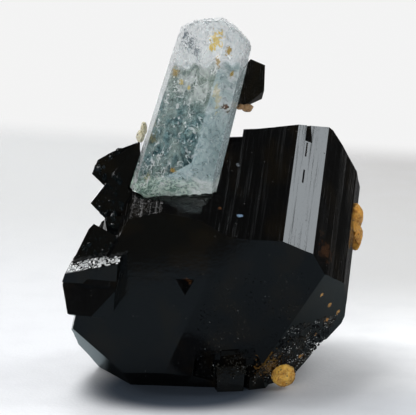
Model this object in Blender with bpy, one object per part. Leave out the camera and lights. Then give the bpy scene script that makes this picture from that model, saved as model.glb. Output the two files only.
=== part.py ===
"""An aquamarine prism grown on a stout black tourmaline, with a second small tourmaline on its back and
feldspar grains on the dark faces. The specimen stands on a flat broken base. Metres, +Z up, front towards -Y;
the origin is under the middle of the tourmaline, on the surface that it stands on."""

import math
import random

import bmesh
import bpy
from mathutils import Matrix, Vector, noise

MM = 0.001

# Driving dimensions, in millimetres
JOINT_GAP = 0.3
RIDGE_PITCH = 1.5
RIDGE_DEPTH = 0.22
BLOCK = 120.0
STUB = 12.0

# The long axis of the big tourmaline, pointing out of its ended tip: to the front, down and a little left
TOURMALINE_AXIS = Vector((-0.13, -0.70, -0.70)).normalized()
TOURMALINE_HALF_LENGTH = 60.0

# Section of the big tourmaline across its axis: (to the right, up and forward), clockwise from the upper left
TOURMALINE_SECTION = [
    (-15.2, 32.8), (-9.6, 34.6), (-3.0, 34.5), (4.3, 32.6), (11.1, 31.6), (16.3, 29.3), (19.0, 25.5),
    (21.9, 20.0), (22.7, 15.0), (22.6, 10.5), (20.3, 3.0), (15.0, -4.0), (6.0, -8.8), (-7.8, -10.0),
    (-18.3, -5.0), (-23.4, 5.7), (-23.7, 15.5), (-22.9, 19.2),
]

# Face directions as (azimuth, elevation) in degrees: azimuth 0 faces the front, 90 faces the right
FRONT_RIGHT = (6, -9)
FRONT_LEFT = (-10, -2)
UNDER_LEFT = (-62, -43.2)
UNDER_FRONT = (-7, -55)
UNDER_RIGHT = (45, -27.5)
LOWER_RIGHT = (75, -41)
ROOT_BACK = (197, 38)
ROOT_RIGHT = (120, 35)
LEFT = (-90, 0)
RIGHT = (90, 0)
BACK = (190, 10)
UP = (0, 90)
DOWN = (0, -90)

# The broken root's distance from the origin
ROOT_DISTANCE = 23.4

# The big tourmaline's flat faces: direction, and distance from the origin
TOURMALINE_FACES = [
    (FRONT_RIGHT, 14.1), (FRONT_LEFT, 16.8), (UNDER_LEFT, 12.23), (UNDER_FRONT, 6.41),
    (UNDER_RIGHT, 12.2), (LOWER_RIGHT, 11.2), (ROOT_BACK, ROOT_DISTANCE), (ROOT_RIGHT, 40.75),
]

# Smaller crystals grown parallel to the big one on its left flank, from the top down, each by its faces
GROWTHS = {
    "upper column": [
        (FRONT_LEFT, 9.9), ((-95, -6.8), 12.6), ((-140, 46.6), 31.8), ((100, 35.7), 12.9),
        (UNDER_LEFT, 4.5), (RIGHT, -8.0), (BACK, 11.0),
    ],
    "upper": [
        (FRONT_LEFT, 8.58), ((-95, 23.5), 32.8), ((-110, 59.1), 41.8), ((-140, 62.7), 38.6),
        ((-95, -46.7), -13.1), (RIGHT, -12.0), (BACK, 10.5),
    ],
    "middle": [
        (FRONT_LEFT, 11.86), ((-95, 37.2), 35.1), ((-95, -44.3), -8.4), (RIGHT, -12.0), (BACK, 8.0),
    ],
    "recess": [
        (FRONT_LEFT, 13.6), ((-95, -8.6), 12.3), ((180, 77.8), 27.2), (UNDER_LEFT, 4.5),
        (RIGHT, -12.0), (BACK, 6.0),
    ],
    "lower": [
        (FRONT_LEFT, 15.32), ((-95, 26.6), 30.2), ((-110, 44.0), 30.6), ((120, 56.4), 11.3),
        ((106, -74.2), -27.8), (RIGHT, -12.0), (BACK, 3.0),
    ],
    "lowest": [
        ((-14, -6), 20.05), ((-95, 20.1), 29.1), ((-95, -16.0), 18.05), ((-20, -72.6), -6.7),
        ((-74, 74.2), 28.5), ((80, -5), -14.1), ((85, -42), -21.6), (BACK, 0.0),
    ],
    "lowest front": [
        ((-8, -5), 20.5), ((-34, 14), 30.7), ((-12, 38), 30.05), ((-95, 20.1), 28.2), ((-95, -16.0), 17.8),
        ((-74, 74.2), 28.0), ((-20, -72.6), -6.6), ((80, -5), -14.0), ((85, -42), -21.4), (BACK, 0.0),
    ],
}

# Broken pieces missing from the big tourmaline: the steps at the upper left of its root, then the bites in its
# front and the notches at its sides
ROOT_STEPS = {
    "first root step": [((17, -38), -21.9), ((83, -4), 2.9)],
    "second root step": [((17, -38), -20.0), ((83, -4), 0.6)],
}
BITES = {
    "front bite": [((186, 9), -11.3), ((-80, 10), 6.4), ((70, 20), 14.0), ((0, 70), 12.6)],
    "left notch": [((-14, 85), 21.9), ((140, -22), -31.2)],
    "right notch": [((255, 41), -10.1), ((0, 80), 7.3), (DOWN, -2.4)],
}

# Stubs in the bite under the front, each by its centre and its faces
STUBS = {
    "left": ((-1.6, -10.0, 3.2), [((-12, -48), 2.3), ((-75, 5), 2.0), ((80, -5), 2.4), ((-20, 55), 3.4)]),
    "middle": ((3.2, -9.5, 2.0), [((6, -9), 4.1), ((-80, 0), 2.9), ((84, -4), 2.9), ((4, 62), 3.9)]),
    "right": ((7.6, -9.0, 1.8), [((22, -14), 3.6), ((-70, 0), 2.4), ((75, 8), 2.2), ((10, 50), 3.2)]),
    "upper": ((3.0, -8.5, 6.2), [((10, -20), 3.6), ((-70, 0), 2.6), ((70, 0), 3.0), ((10, 40), 3.6)]),
}

# A triangular growth pit: its face, its middle, the distance of its sides and their slope in degrees
PIT_FACE = FRONT_LEFT
PIT_MIDDLE = Vector((-4.4, -17.0, 19.7))
PIT_HALF = 0.75
PIT_SLOPE = 40

# The chip out of the bright upper edge: its middle, and its faces measured from there
EDGE_CHIP = ((17.7, -3.0, 43.4), [((96, 0), 0.5), ((-84, 0), 0.5), ((30, -38), 1.2), ((180, 50), 3.0)])

# Crusts of grains grown parallel to the big crystal: the face and its distance, the ranges across and up the
# face that they cover, how many there are, and the smallest and largest radius
GRAIN_CRUSTS = [
    (UNDER_RIGHT, 12.2, (-2.5, 9.0), (12.5, 24.0), 26, (0.5, 1.0)),
    (FRONT_RIGHT, 14.1, (-2.5, 12.5), (11.0, 20.0), 20, (0.35, 0.7)),
]
GRAIN_MARGIN = 1.0

# The broken root: spacing of its facets, depth of its relief, height of its ledges, its reach, and the rim
# that stays whole
BREAK_CELL = 1.9
BREAK_DEPTH = 2.0
BREAK_LEDGE = 0.5
BREAK_REACH = 34.0
RIM_ACROSS = 13.0
RIM_UP = 28.5

# Aquamarine: its long axis, the middle of its broken base, and the slight taper of its sides in degrees
AQUA_AXIS = Vector((0.272, 0.08, 1.0)).normalized()
AQUA_BASE = Vector((-7.0, -13.7, 33.1))
# Its side faces: angle round the axis from the front to the right, distance from the axis, taper
AQUA_SIDES = [
    (-40, 3.70, 1.0), (20, 6.20, 0.5), (75, 6.95, 1.4), (110, 6.85, 1.2), (140, 6.50, 0.8),
    (200, 6.20, 0.5), (260, 7.60, 2.4), (-72, 6.05, 2.4),
]
# The planes that end it: (to the right, along the axis, to the front) and distance from the base's middle
AQUA_ENDS = [
    ((-0.83, 1.0, 0.0), 26.2), ((-0.355, 1.0, 0.0), 30.35), ((0.297, 1.0, 0.0), 31.2),
    ((0.612, 1.0, 0.0), 28.6), ((1.41, 1.0, 0.0), 22.1), ((0.03, -0.62, 0.78), -0.4),
    ((0.36, -0.93, 0.0), -1.0), ((-0.23, -0.97, 0.0), 1.3), ((-0.8, -0.6, 0.1), 5.2),
]

# The small tourmaline on the back of the aquamarine
SMALL_FACES = [
    ((20, 4), 14.5), ((130, 63.9), 50.9), ((95, -2.3), 6.2), ((60, -40.8), -24.55), ((180, -80), -49.77),
    ((-120, 34.6), 23.9), (LEFT, -3.8), ((180, 0), -3.5),
]

# Feldspar lumps: (centre, half sizes) of each
CRUST = [
    ((25.3, 3.6, 27.0), (1.7, 2.4, 2.9)), ((25.6, 5.2, 23.0), (1.6, 2.8, 2.5)),
    ((24.9, 8.4, 25.8), (1.8, 2.6, 2.8)),
]
PEBBLE = [((12.5, -11.3, 2.25), (2.2, 2.0, 2.1))]
CHIP = [((-11.9, -12.2, 44.4), (0.8, 1.3, 1.2)), ((-11.3, -12.2, 45.7), (0.65, 1.1, 1.2))]
CRUMB = [((6.2, -9.6, 48.7), (1.1, 1.0, 0.75)), ((4.9, -9.8, 48.9), (0.8, 0.9, 0.6))]
LUMP_RELIEF = 0.16


def direction(azimuth, elevation):
    """The unit vector that points that way."""
    a, e = math.radians(azimuth), math.radians(elevation)
    return Vector((math.sin(a) * math.cos(e), -math.cos(a) * math.cos(e), math.sin(e)))


def across(axis):
    """Two unit vectors across an axis: to the right, and up and forward."""
    right = Vector((1, 0, 0))
    right = (right - axis * right.dot(axis)).normalized()
    up = axis.cross(right)
    return right, up if up.z > 0 else -up


def cleave(mesh, facing, distance, centre=Vector()):
    """Splits off all that lies past a plane, and closes the cut with one flat face."""
    normal = facing if isinstance(facing, Vector) else direction(*facing)
    cut = bmesh.ops.bisect_plane(
        mesh, geom=mesh.verts[:] + mesh.edges[:] + mesh.faces[:], dist=1e-5,
        plane_co=centre + normal * distance, plane_no=normal, clear_outer=True,
    )
    rim = [e for e in cut["geom_cut"] if isinstance(e, bmesh.types.BMEdge) and e.is_boundary]
    if rim:
        bmesh.ops.edgeloop_fill(mesh, edges=rim)


def ridged(corners, pitch, depth, seed):
    """A closed section whose straight sides carry the lengthwise ridges of tourmaline."""
    dice = random.Random(seed)
    points = []
    for (x0, y0), (x1, y1) in zip(corners, corners[1:] + corners[:1]):
        side = math.hypot(x1 - x0, y1 - y0)
        inward = ((y1 - y0) / side, -(x1 - x0) / side)
        count = max(1, round(side / pitch))
        for k in range(count):
            crest, trough = k / count, (k + 0.35 + 0.3 * dice.random()) / count
            sunk = depth * (0.4 + 0.6 * dice.random())
            points.append((x0 + (x1 - x0) * crest, y0 + (y1 - y0) * crest))
            low = (x0 + (x1 - x0) * trough, y0 + (y1 - y0) * trough)
            points.append((low[0] + inward[0] * sunk, low[1] + inward[1] * sunk))
    return points


def bar(section, axis, start, end):
    """A mesh of a section drawn out along an axis, from start to end."""
    right, up = across(axis)
    mesh = bmesh.new()
    ring = [mesh.verts.new(right * u + up * t + axis * start) for u, t in section]
    face = mesh.faces.new(ring)
    drawn = bmesh.ops.extrude_face_region(mesh, geom=[face])
    moved = [v for v in drawn["geom"] if isinstance(v, bmesh.types.BMVert)]
    bmesh.ops.translate(mesh, verts=moved, vec=axis * (end - start))
    bmesh.ops.recalc_face_normals(mesh, faces=mesh.faces)
    return mesh


def crystal(faces, gap=0.0, centre=Vector(), size=BLOCK):
    """A crystal of flat faces, each a direction and a distance from the centre, grown outward by a gap."""
    mesh = bmesh.new()
    bmesh.ops.create_cube(mesh, size=size)
    bmesh.ops.translate(mesh, verts=mesh.verts, vec=centre)
    for facing, distance in faces:
        cleave(mesh, facing, distance + gap, centre)
    return mesh


def as_object(mesh, name):
    """Turns a mesh in millimetres into an object of that name."""
    bmesh.ops.recalc_face_normals(mesh, faces=mesh.faces)
    data = bpy.data.meshes.new(name)
    mesh.to_mesh(data)
    mesh.free()
    made = bpy.data.objects.new(name, data)
    bpy.context.scene.collection.objects.link(made)
    return made


def combine(base, tool, operation):
    """Joins the tool object to the base object, or cuts it away, and removes the tool."""
    modifier = base.modifiers.new(operation, "BOOLEAN")
    modifier.operation = operation
    modifier.solver = "EXACT"
    modifier.object = tool
    graph = bpy.context.evaluated_depsgraph_get()
    result = bpy.data.meshes.new_from_object(base.evaluated_get(graph))
    base.modifiers.remove(modifier)
    base.data = result
    bpy.data.objects.remove(tool)


def finish(made, material):
    """Gives an object in millimetres its real size in metres and its material."""
    made.data.transform(Matrix.Scale(MM, 4))
    made.data.materials.clear()
    made.data.materials.append(material)


def material(name, colour, roughness, transmission=0.0):
    """A Principled material with the part's plain colour."""
    made = bpy.data.materials.new(name)
    made.use_nodes = True
    shader = made.node_tree.nodes["Principled BSDF"]
    shader.inputs["Base Color"].default_value = (*colour, 1)
    shader.inputs["Roughness"].default_value = roughness
    shader.inputs["Transmission Weight"].default_value = transmission
    return made


def face_frame(facing):
    """The outward, sideways and upward unit vectors of a face."""
    outward = direction(*facing)
    side = Vector((math.cos(math.radians(facing[0])), math.sin(math.radians(facing[0])), 0))
    up = outward.cross(side)
    return outward, side, up if up.z > 0 else -up


def pit():
    """The triangular growth pit, as the piece that is missing."""
    outward, side, up = face_frame(PIT_FACE)
    slope = math.radians(PIT_SLOPE)
    faces = [(outward, 1.0)]
    for turn in (90, 210, 330):
        a = math.radians(turn)
        across_face = side * math.cos(a) + up * math.sin(a)
        faces.append((across_face * math.cos(slope) - outward * math.sin(slope), PIT_HALF))
    return crystal(faces, 0.0, PIT_MIDDLE, STUB)


def grains(facing, distance, across_range, up_range, count, radii, dice):
    """Small stubs on a face, each ended by facets parallel to the big crystal's own."""
    right, forward = across(TOURMALINE_AXIS)
    outward, side, up = face_frame(facing)
    made = []
    while len(made) < count:
        point = outward * distance + side * dice.uniform(*across_range) + up * dice.uniform(*up_range)
        others = [f for f in TOURMALINE_FACES if f[0] != facing]
        if any(direction(*f).dot(point) > d - GRAIN_MARGIN for f, d in others):
            continue
        radius = dice.uniform(*radii)
        turn = dice.uniform(0, 20)
        section = [
            (point.dot(right) + radius * math.cos(math.radians(turn - 60 * k)),
             point.dot(forward) + radius * math.sin(math.radians(turn - 60 * k)))
            for k in range(6)
        ]
        level = point.dot(TOURMALINE_AXIS)
        mesh = bar(section, TOURMALINE_AXIS, level - 2.5 * radius, level + 2 * radius)
        cleave(mesh, outward, distance + radius * dice.uniform(0.25, 0.6))
        for facet in (FRONT_RIGHT, UNDER_RIGHT, UNDER_LEFT):
            if facet != facing:
                cleave(mesh, facet, direction(*facet).dot(point) + radius * dice.uniform(0.3, 0.9))
        made.append(mesh)
    return made


def break_depth(point):
    """How far the broken root lies below its flat plane at a point, in steps and small hollows."""
    right, forward = across(TOURMALINE_AXIS)
    stepped = 0.0
    for (_, level), (sideways, edge) in ROOT_STEPS.values():
        if direction(*sideways).dot(point) < edge:
            stepped = max(stepped, ROOT_DISTANCE + level)
    if point.dot(right) > RIM_ACROSS or point.dot(forward) > RIM_UP:
        return stepped - 0.4
    rough = 0.5 + 0.5 * noise.noise(point * 0.09 + Vector((3, 0, 0))) + 0.35 * noise.noise(point * 0.3)
    ledges = round(max(0.0, min(1.0, rough)) * BREAK_DEPTH / BREAK_LEDGE)
    return stepped + ledges * BREAK_LEDGE + 0.15 * noise.noise(point * 1.1)


def root_break(facing, distance):
    """The piece broken away at the root: its near side is an uneven sheet of ledges."""
    outward, side, up = face_frame(facing)
    steps = round(2 * BREAK_REACH / BREAK_CELL)
    marks = [k * BREAK_CELL - BREAK_REACH for k in range(steps + 1)]
    mesh = bmesh.new()
    rows = []
    for b in marks:
        flat = [outward * distance + side * a + up * b for a in marks]
        rows.append([mesh.verts.new(point - outward * break_depth(point)) for point in flat])
    for low, high in zip(rows, rows[1:]):
        for a, b, c, d in zip(low, low[1:], high[1:], high):
            mesh.faces.new((a, b, c))
            mesh.faces.new((a, c, d))
    drawn = bmesh.ops.extrude_face_region(mesh, geom=mesh.faces[:])
    for vert in [v for v in drawn["geom"] if isinstance(v, bmesh.types.BMVert)]:
        vert.co += outward * (distance + 20.0 - vert.co.dot(outward))
    bmesh.ops.recalc_face_normals(mesh, faces=mesh.faces)
    return mesh


def tourmaline():
    """The big black crystal: a ridged bar, ended by broad flat faces and broken off at its root."""
    section = ridged(TOURMALINE_SECTION, RIDGE_PITCH, RIDGE_DEPTH, seed=4)
    mesh = bar(section, TOURMALINE_AXIS, -TOURMALINE_HALF_LENGTH, TOURMALINE_HALF_LENGTH)
    for facing, distance in TOURMALINE_FACES:
        cleave(mesh, facing, distance)
    made = as_object(mesh, "black_tourmaline")
    combine(made, as_object(root_break(ROOT_BACK, ROOT_DISTANCE), "root break"), "DIFFERENCE")
    for name, faces in ROOT_STEPS.items():
        combine(made, as_object(crystal(faces), name), "DIFFERENCE")
    centre, faces = EDGE_CHIP
    combine(made, as_object(crystal(faces, 0.0, Vector(centre), STUB), "edge chip"), "DIFFERENCE")
    for name, faces in GROWTHS.items():
        combine(made, as_object(crystal(faces), name), "UNION")
    for name, faces in BITES.items():
        combine(made, as_object(crystal(faces), name), "DIFFERENCE")
    for name, (centre, faces) in STUBS.items():
        combine(made, as_object(crystal(faces, 0.0, Vector(centre), STUB), name), "UNION")
    combine(made, as_object(pit(), "pit"), "DIFFERENCE")
    dice = random.Random(11)
    for patch in GRAIN_CRUSTS:
        for mesh in grains(*patch, dice):
            combine(made, as_object(mesh, "grain"), "UNION")
    return made


def aquamarine(gap=0.0):
    """The pale blue prism, or, with a gap, the same form grown outward by it."""
    lateral, _ = across(AQUA_AXIS)
    front = lateral.cross(AQUA_AXIS)
    faces = []
    for angle, distance, taper in AQUA_SIDES:
        a, t = math.radians(angle), math.radians(taper)
        outward = front * math.cos(a) + lateral * math.sin(a)
        faces.append((outward * math.cos(t) + AQUA_AXIS * math.sin(t), distance))
    for (right, along, forward), distance in AQUA_ENDS:
        faces.append(((lateral * right + AQUA_AXIS * along + front * forward).normalized(), distance))
    return as_object(crystal(faces, gap, AQUA_BASE), "aquamarine")


def lumps(name, parts, gap=0.0):
    """Rounded grains with uneven sides, joined to one another, or, with a gap, grown outward by it."""
    made = None
    for centre, half in parts:
        mesh = bmesh.new()
        bmesh.ops.create_icosphere(mesh, subdivisions=2, radius=1.0)
        for vert in mesh.verts:
            swell = 1 + LUMP_RELIEF * noise.noise(vert.co * 1.7 + Vector(centre))
            vert.co = Vector(centre) + Vector([c * swell * (h + gap) for c, h in zip(vert.co, half)])
        grain = as_object(mesh, name)
        if made:
            combine(made, grain, "UNION")
        else:
            made = grain
    return made


def main():
    for old in list(bpy.data.objects):
        bpy.data.objects.remove(old)
    black = material("black tourmaline", (0.012, 0.013, 0.015), 0.12)
    pale_blue = material("aquamarine", (0.72, 0.86, 0.88), 0.05, transmission=1.0)
    ochre = material("ochre feldspar", (0.62, 0.42, 0.17), 0.75)
    cream = material("pale feldspar", (0.62, 0.58, 0.44), 0.7)
    brown = material("brown feldspar", (0.32, 0.19, 0.09), 0.75)

    big = tourmaline()
    combine(big, aquamarine(gap=JOINT_GAP), "DIFFERENCE")
    combine(big, as_object(crystal([(UP, 60.0), (DOWN, 0.0)]), "floor"), "INTERSECT")
    for name, parts in (("crust", CRUST), ("pebble", PEBBLE)):
        combine(big, lumps(name, parts, JOINT_GAP), "DIFFERENCE")
    finish(big, black)
    finish(aquamarine(), pale_blue)

    small = as_object(crystal(SMALL_FACES), "small_tourmaline")
    combine(small, aquamarine(gap=JOINT_GAP), "DIFFERENCE")
    finish(small, black)

    finish(lumps("feldspar_crust", CRUST), ochre)
    finish(lumps("feldspar_pebble", PEBBLE), ochre)
    chip = lumps("pale_feldspar_chip", CHIP)
    combine(chip, aquamarine(gap=JOINT_GAP), "DIFFERENCE")
    finish(chip, cream)
    crumb = lumps("brown_feldspar_crumb", CRUMB)
    combine(crumb, aquamarine(gap=JOINT_GAP), "DIFFERENCE")
    combine(crumb, as_object(crystal(SMALL_FACES, JOINT_GAP), "clearance"), "DIFFERENCE")
    finish(crumb, brown)


main()
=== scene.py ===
"""Aquamarine prism on black tourmaline: the dressed specimen, its studio and its camera.

Lengths are in millimetres unless a name ends in _m; every mesh is scaled to metres as it is finished. +Z is
up and the front faces -Y. A facing is (azimuth, elevation) in degrees, with azimuth 0 to the front and 90 to
the right.
"""

import logging
import math
import random
from collections.abc import Sequence
from dataclasses import dataclass, field
from enum import Enum

import bmesh
import bpy
from mathutils import Matrix, Quaternion, Vector, noise


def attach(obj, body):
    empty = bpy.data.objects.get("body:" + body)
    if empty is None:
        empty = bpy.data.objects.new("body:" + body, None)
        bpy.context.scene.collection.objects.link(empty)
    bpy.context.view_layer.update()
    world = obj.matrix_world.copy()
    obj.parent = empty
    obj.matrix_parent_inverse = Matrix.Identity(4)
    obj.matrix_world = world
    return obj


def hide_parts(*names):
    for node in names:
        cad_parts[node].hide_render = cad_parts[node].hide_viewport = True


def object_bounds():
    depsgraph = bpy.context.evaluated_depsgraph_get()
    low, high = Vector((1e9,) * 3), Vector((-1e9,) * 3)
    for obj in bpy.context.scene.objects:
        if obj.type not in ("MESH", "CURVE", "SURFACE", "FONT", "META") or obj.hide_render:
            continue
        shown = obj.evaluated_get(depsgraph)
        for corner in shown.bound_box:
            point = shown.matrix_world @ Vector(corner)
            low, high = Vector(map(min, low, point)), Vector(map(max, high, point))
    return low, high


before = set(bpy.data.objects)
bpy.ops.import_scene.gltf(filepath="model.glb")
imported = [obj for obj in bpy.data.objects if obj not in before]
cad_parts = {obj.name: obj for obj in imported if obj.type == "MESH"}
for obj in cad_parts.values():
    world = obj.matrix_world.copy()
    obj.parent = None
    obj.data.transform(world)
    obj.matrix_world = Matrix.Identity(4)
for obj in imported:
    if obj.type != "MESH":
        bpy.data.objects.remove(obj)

LOG = logging.getLogger("aquamarine_specimen")
CAD_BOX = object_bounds()
MM = 0.001
PER_METRE = 1000.0
# Points this near to a cutting plane count as on it
SAME_PLACE = 1e-5
# The edges of the blocks that solids are cleaved from
BLOCK = 120.0
SMALL_BLOCK = 12.0

Socket = bpy.types.NodeSocket
Group = bpy.types.NodeTree
Material = bpy.types.Material
Object = bpy.types.Object
Mesh = bmesh.types.BMesh
Facing = tuple[float, float]
Plane = tuple[Facing, float]
Point = tuple[float, float, float]
Colour = tuple[float, float, float]
Span = tuple[float, float]

RIGHT: Facing = (90, 0)
BACK: Facing = (190, 10)
FRONT_RIGHT: Facing = (6, -9)
FRONT_LEFT: Facing = (-10, -2)
UNDER_LEFT: Facing = (-62, -43.2)
UNDER_FRONT: Facing = (-7, -55)
UNDER_RIGHT: Facing = (45, -27.5)
LOWER_RIGHT: Facing = (75, -41)
ROOT_BACK: Facing = (197, 38)
ROOT_RIGHT: Facing = (120, 35)


class Slot(Enum):
    """The record's material slots."""

    TOURMALINE = "black_tourmaline"
    AQUAMARINE = "aquamarine"
    OCHRE = "ochre_feldspar"
    PALE = "pale_feldspar"
    BROWN = "brown_feldspar"


class Reach(Enum):
    """What a studio light acts on."""

    ALL = "all"
    MIRRORED = "seen in glossy faces only"
    MATTE = "not seen in glossy faces"


class Cut(Enum):
    """How one solid acts on another."""

    JOIN = "UNION"
    CUT = "DIFFERENCE"
    KEEP = "INTERSECT"


# Shapes


def direction(facing: Facing) -> Vector:
    """Find the unit vector of a facing.

    Args:
        facing: Azimuth and elevation in degrees.

    Returns:
        The unit vector that points that way.
    """
    a, e = math.radians(facing[0]), math.radians(facing[1])
    return Vector((math.sin(a) * math.cos(e), -math.cos(a) * math.cos(e), math.sin(e)))


def across(axis: Vector) -> tuple[Vector, Vector]:
    """Find two unit vectors across an axis.

    Args:
        axis: A unit vector.

    Returns:
        The vector to the right, and the one up and forward.
    """
    right = Vector((1, 0, 0))
    right = (right - axis * right.dot(axis)).normalized()
    up = axis.cross(right)
    return right, up if up.z > 0 else -up


def face_frame(facing: Facing) -> tuple[Vector, Vector, Vector]:
    """Find the directions of a flat face.

    Args:
        facing: Where the face looks.

    Returns:
        Its outward, sideways and upward unit vectors.
    """
    outward = direction(facing)
    side = Vector((math.cos(math.radians(facing[0])), math.sin(math.radians(facing[0])), 0))
    up = outward.cross(side)
    return outward, side, up if up.z > 0 else -up


def cleave(mesh: Mesh, normal: Vector, distance: float, centre: Vector = Vector()) -> None:
    """Split off all that lies past a plane, and close the cut.

    Args:
        mesh: The mesh to cut.
        normal: The plane's outward direction.
        distance: How far the plane is from the centre.
        centre: Where the distance starts.
    """
    cut = bmesh.ops.bisect_plane(
        mesh, geom=mesh.verts[:] + mesh.edges[:] + mesh.faces[:], dist=SAME_PLACE,
        plane_co=centre + normal * distance, plane_no=normal, clear_outer=True,
    )
    rim = [e for e in cut["geom_cut"] if isinstance(e, bmesh.types.BMEdge) and e.is_boundary]
    if rim:
        bmesh.ops.edgeloop_fill(mesh, edges=rim)


def bar(section: list[Span], axis: Vector, start: float, end: float) -> Mesh:
    """Draw a section out along an axis.

    Args:
        section: The closed section, across the axis.
        axis: The direction of drawing.
        start: Where it starts along the axis.
        end: Where it ends.

    Returns:
        A closed mesh.
    """
    right, up = across(axis)
    mesh = bmesh.new()
    face = mesh.faces.new([mesh.verts.new(right * u + up * t + axis * start) for u, t in section])
    drawn = bmesh.ops.extrude_face_region(mesh, geom=[face])
    moved = [v for v in drawn["geom"] if isinstance(v, bmesh.types.BMVert)]
    bmesh.ops.translate(mesh, verts=moved, vec=axis * (end - start))
    bmesh.ops.recalc_face_normals(mesh, faces=mesh.faces)
    return mesh


def crystal(planes: Sequence[Plane], centre: Point = (0, 0, 0), size: float = BLOCK) -> Mesh:
    """Cleave a crystal out of a block.

    Args:
        planes: Its faces, each a facing and a distance from the centre.
        centre: The block's centre.
        size: The block's edge.

    Returns:
        A closed convex mesh.
    """
    mesh = bmesh.new()
    bmesh.ops.create_cube(mesh, size=size)
    bmesh.ops.translate(mesh, verts=mesh.verts, vec=centre)
    for facing, distance in planes:
        cleave(mesh, direction(facing), distance, Vector(centre))
    return mesh


def slice_up(mesh: Mesh, spacing: float, axes: list[Vector]) -> None:
    """Divide every face by evenly spaced planes, and keep the shape.

    Args:
        mesh: The mesh to divide.
        spacing: The distance between planes.
        axes: The directions that the planes cross.
    """
    for axis in axes:
        reach = [v.co.dot(axis) for v in mesh.verts]
        level = min(reach) + spacing / 2
        while level < max(reach):
            bmesh.ops.bisect_plane(
                mesh, geom=mesh.verts[:] + mesh.edges[:] + mesh.faces[:], dist=SAME_PLACE,
                plane_co=axis * level, plane_no=axis,
            )
            level += spacing


def enter(name: str, data: bpy.types.ID) -> Object:
    """Add an object with this data to the scene."""
    made = bpy.data.objects.new(name, data)
    bpy.context.scene.collection.objects.link(made)
    return made


def aim(made: Object, place_m: Point, target_m: Point) -> None:
    """Put a light or camera in its place, turned towards its target."""
    made.location = place_m
    made.rotation_mode = "QUATERNION"
    made.rotation_quaternion = (Vector(target_m) - Vector(place_m)).to_track_quat("-Z", "Y")


def as_object(mesh: Mesh, name: str) -> Object:
    """Turn a mesh into an object.

    Args:
        mesh: The mesh, which is freed.
        name: The object's name.

    Returns:
        The new object.
    """
    bmesh.ops.recalc_face_normals(mesh, faces=mesh.faces)
    data = bpy.data.meshes.new(name)
    mesh.to_mesh(data)
    mesh.free()
    return enter(name, data)


def combine(base: Object, tool: Object, how: Cut) -> None:
    """Join the tool to the base, or cut it away, and remove the tool.

    Args:
        base: The object that stays.
        tool: The object that is used up.
        how: The way they meet.
    """
    modifier = base.modifiers.new("combine", "BOOLEAN")
    modifier.operation = how.value
    modifier.solver = "EXACT"
    modifier.object = tool
    graph = bpy.context.evaluated_depsgraph_get()
    result = bpy.data.meshes.new_from_object(base.evaluated_get(graph))
    base.modifiers.remove(modifier)
    base.data = result
    bpy.data.objects.remove(tool)


def carve(base: Object, tool: Mesh, how: Cut) -> None:
    """Combine an object with a mesh, which is used up."""
    combine(base, as_object(tool, "tool"), how)


def fractal(point: Vector, octaves: int = 4) -> float:
    """Sum a few octaves of smooth noise.

    Args:
        point: Where to read it, one unit to a lump.
        octaves: How many sizes of lump are added.

    Returns:
        A height of about -1 to 1.
    """
    return noise.fractal(point, 1.0, 2.0, octaves)


def dress(
    made: Object, material: Material, nodes: tuple[str, ...] = (),
    smooth_deg: float | None = None,
) -> Object:
    """Give a finished piece its size in metres, material and place in the frame.

    Args:
        made: The piece, in millimetres.
        material: Its finish.
        nodes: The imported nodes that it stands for.
        smooth_deg: Shade edges flatter than this smoothly, or leave all faces flat.

    Returns:
        The same object.
    """
    made.data.transform(Matrix.Scale(MM, 4))
    made.data.materials.clear()
    made.data.materials.append(material)
    if smooth_deg is not None:
        made.data.shade_smooth()
        made.data.set_sharp_from_angle(angle=math.radians(smooth_deg))
    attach(made, "root")
    if nodes:
        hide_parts(*nodes)
    LOG.info("%s: %d faces", made.name, len(made.data.polygons))
    return made


# Finishes


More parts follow.
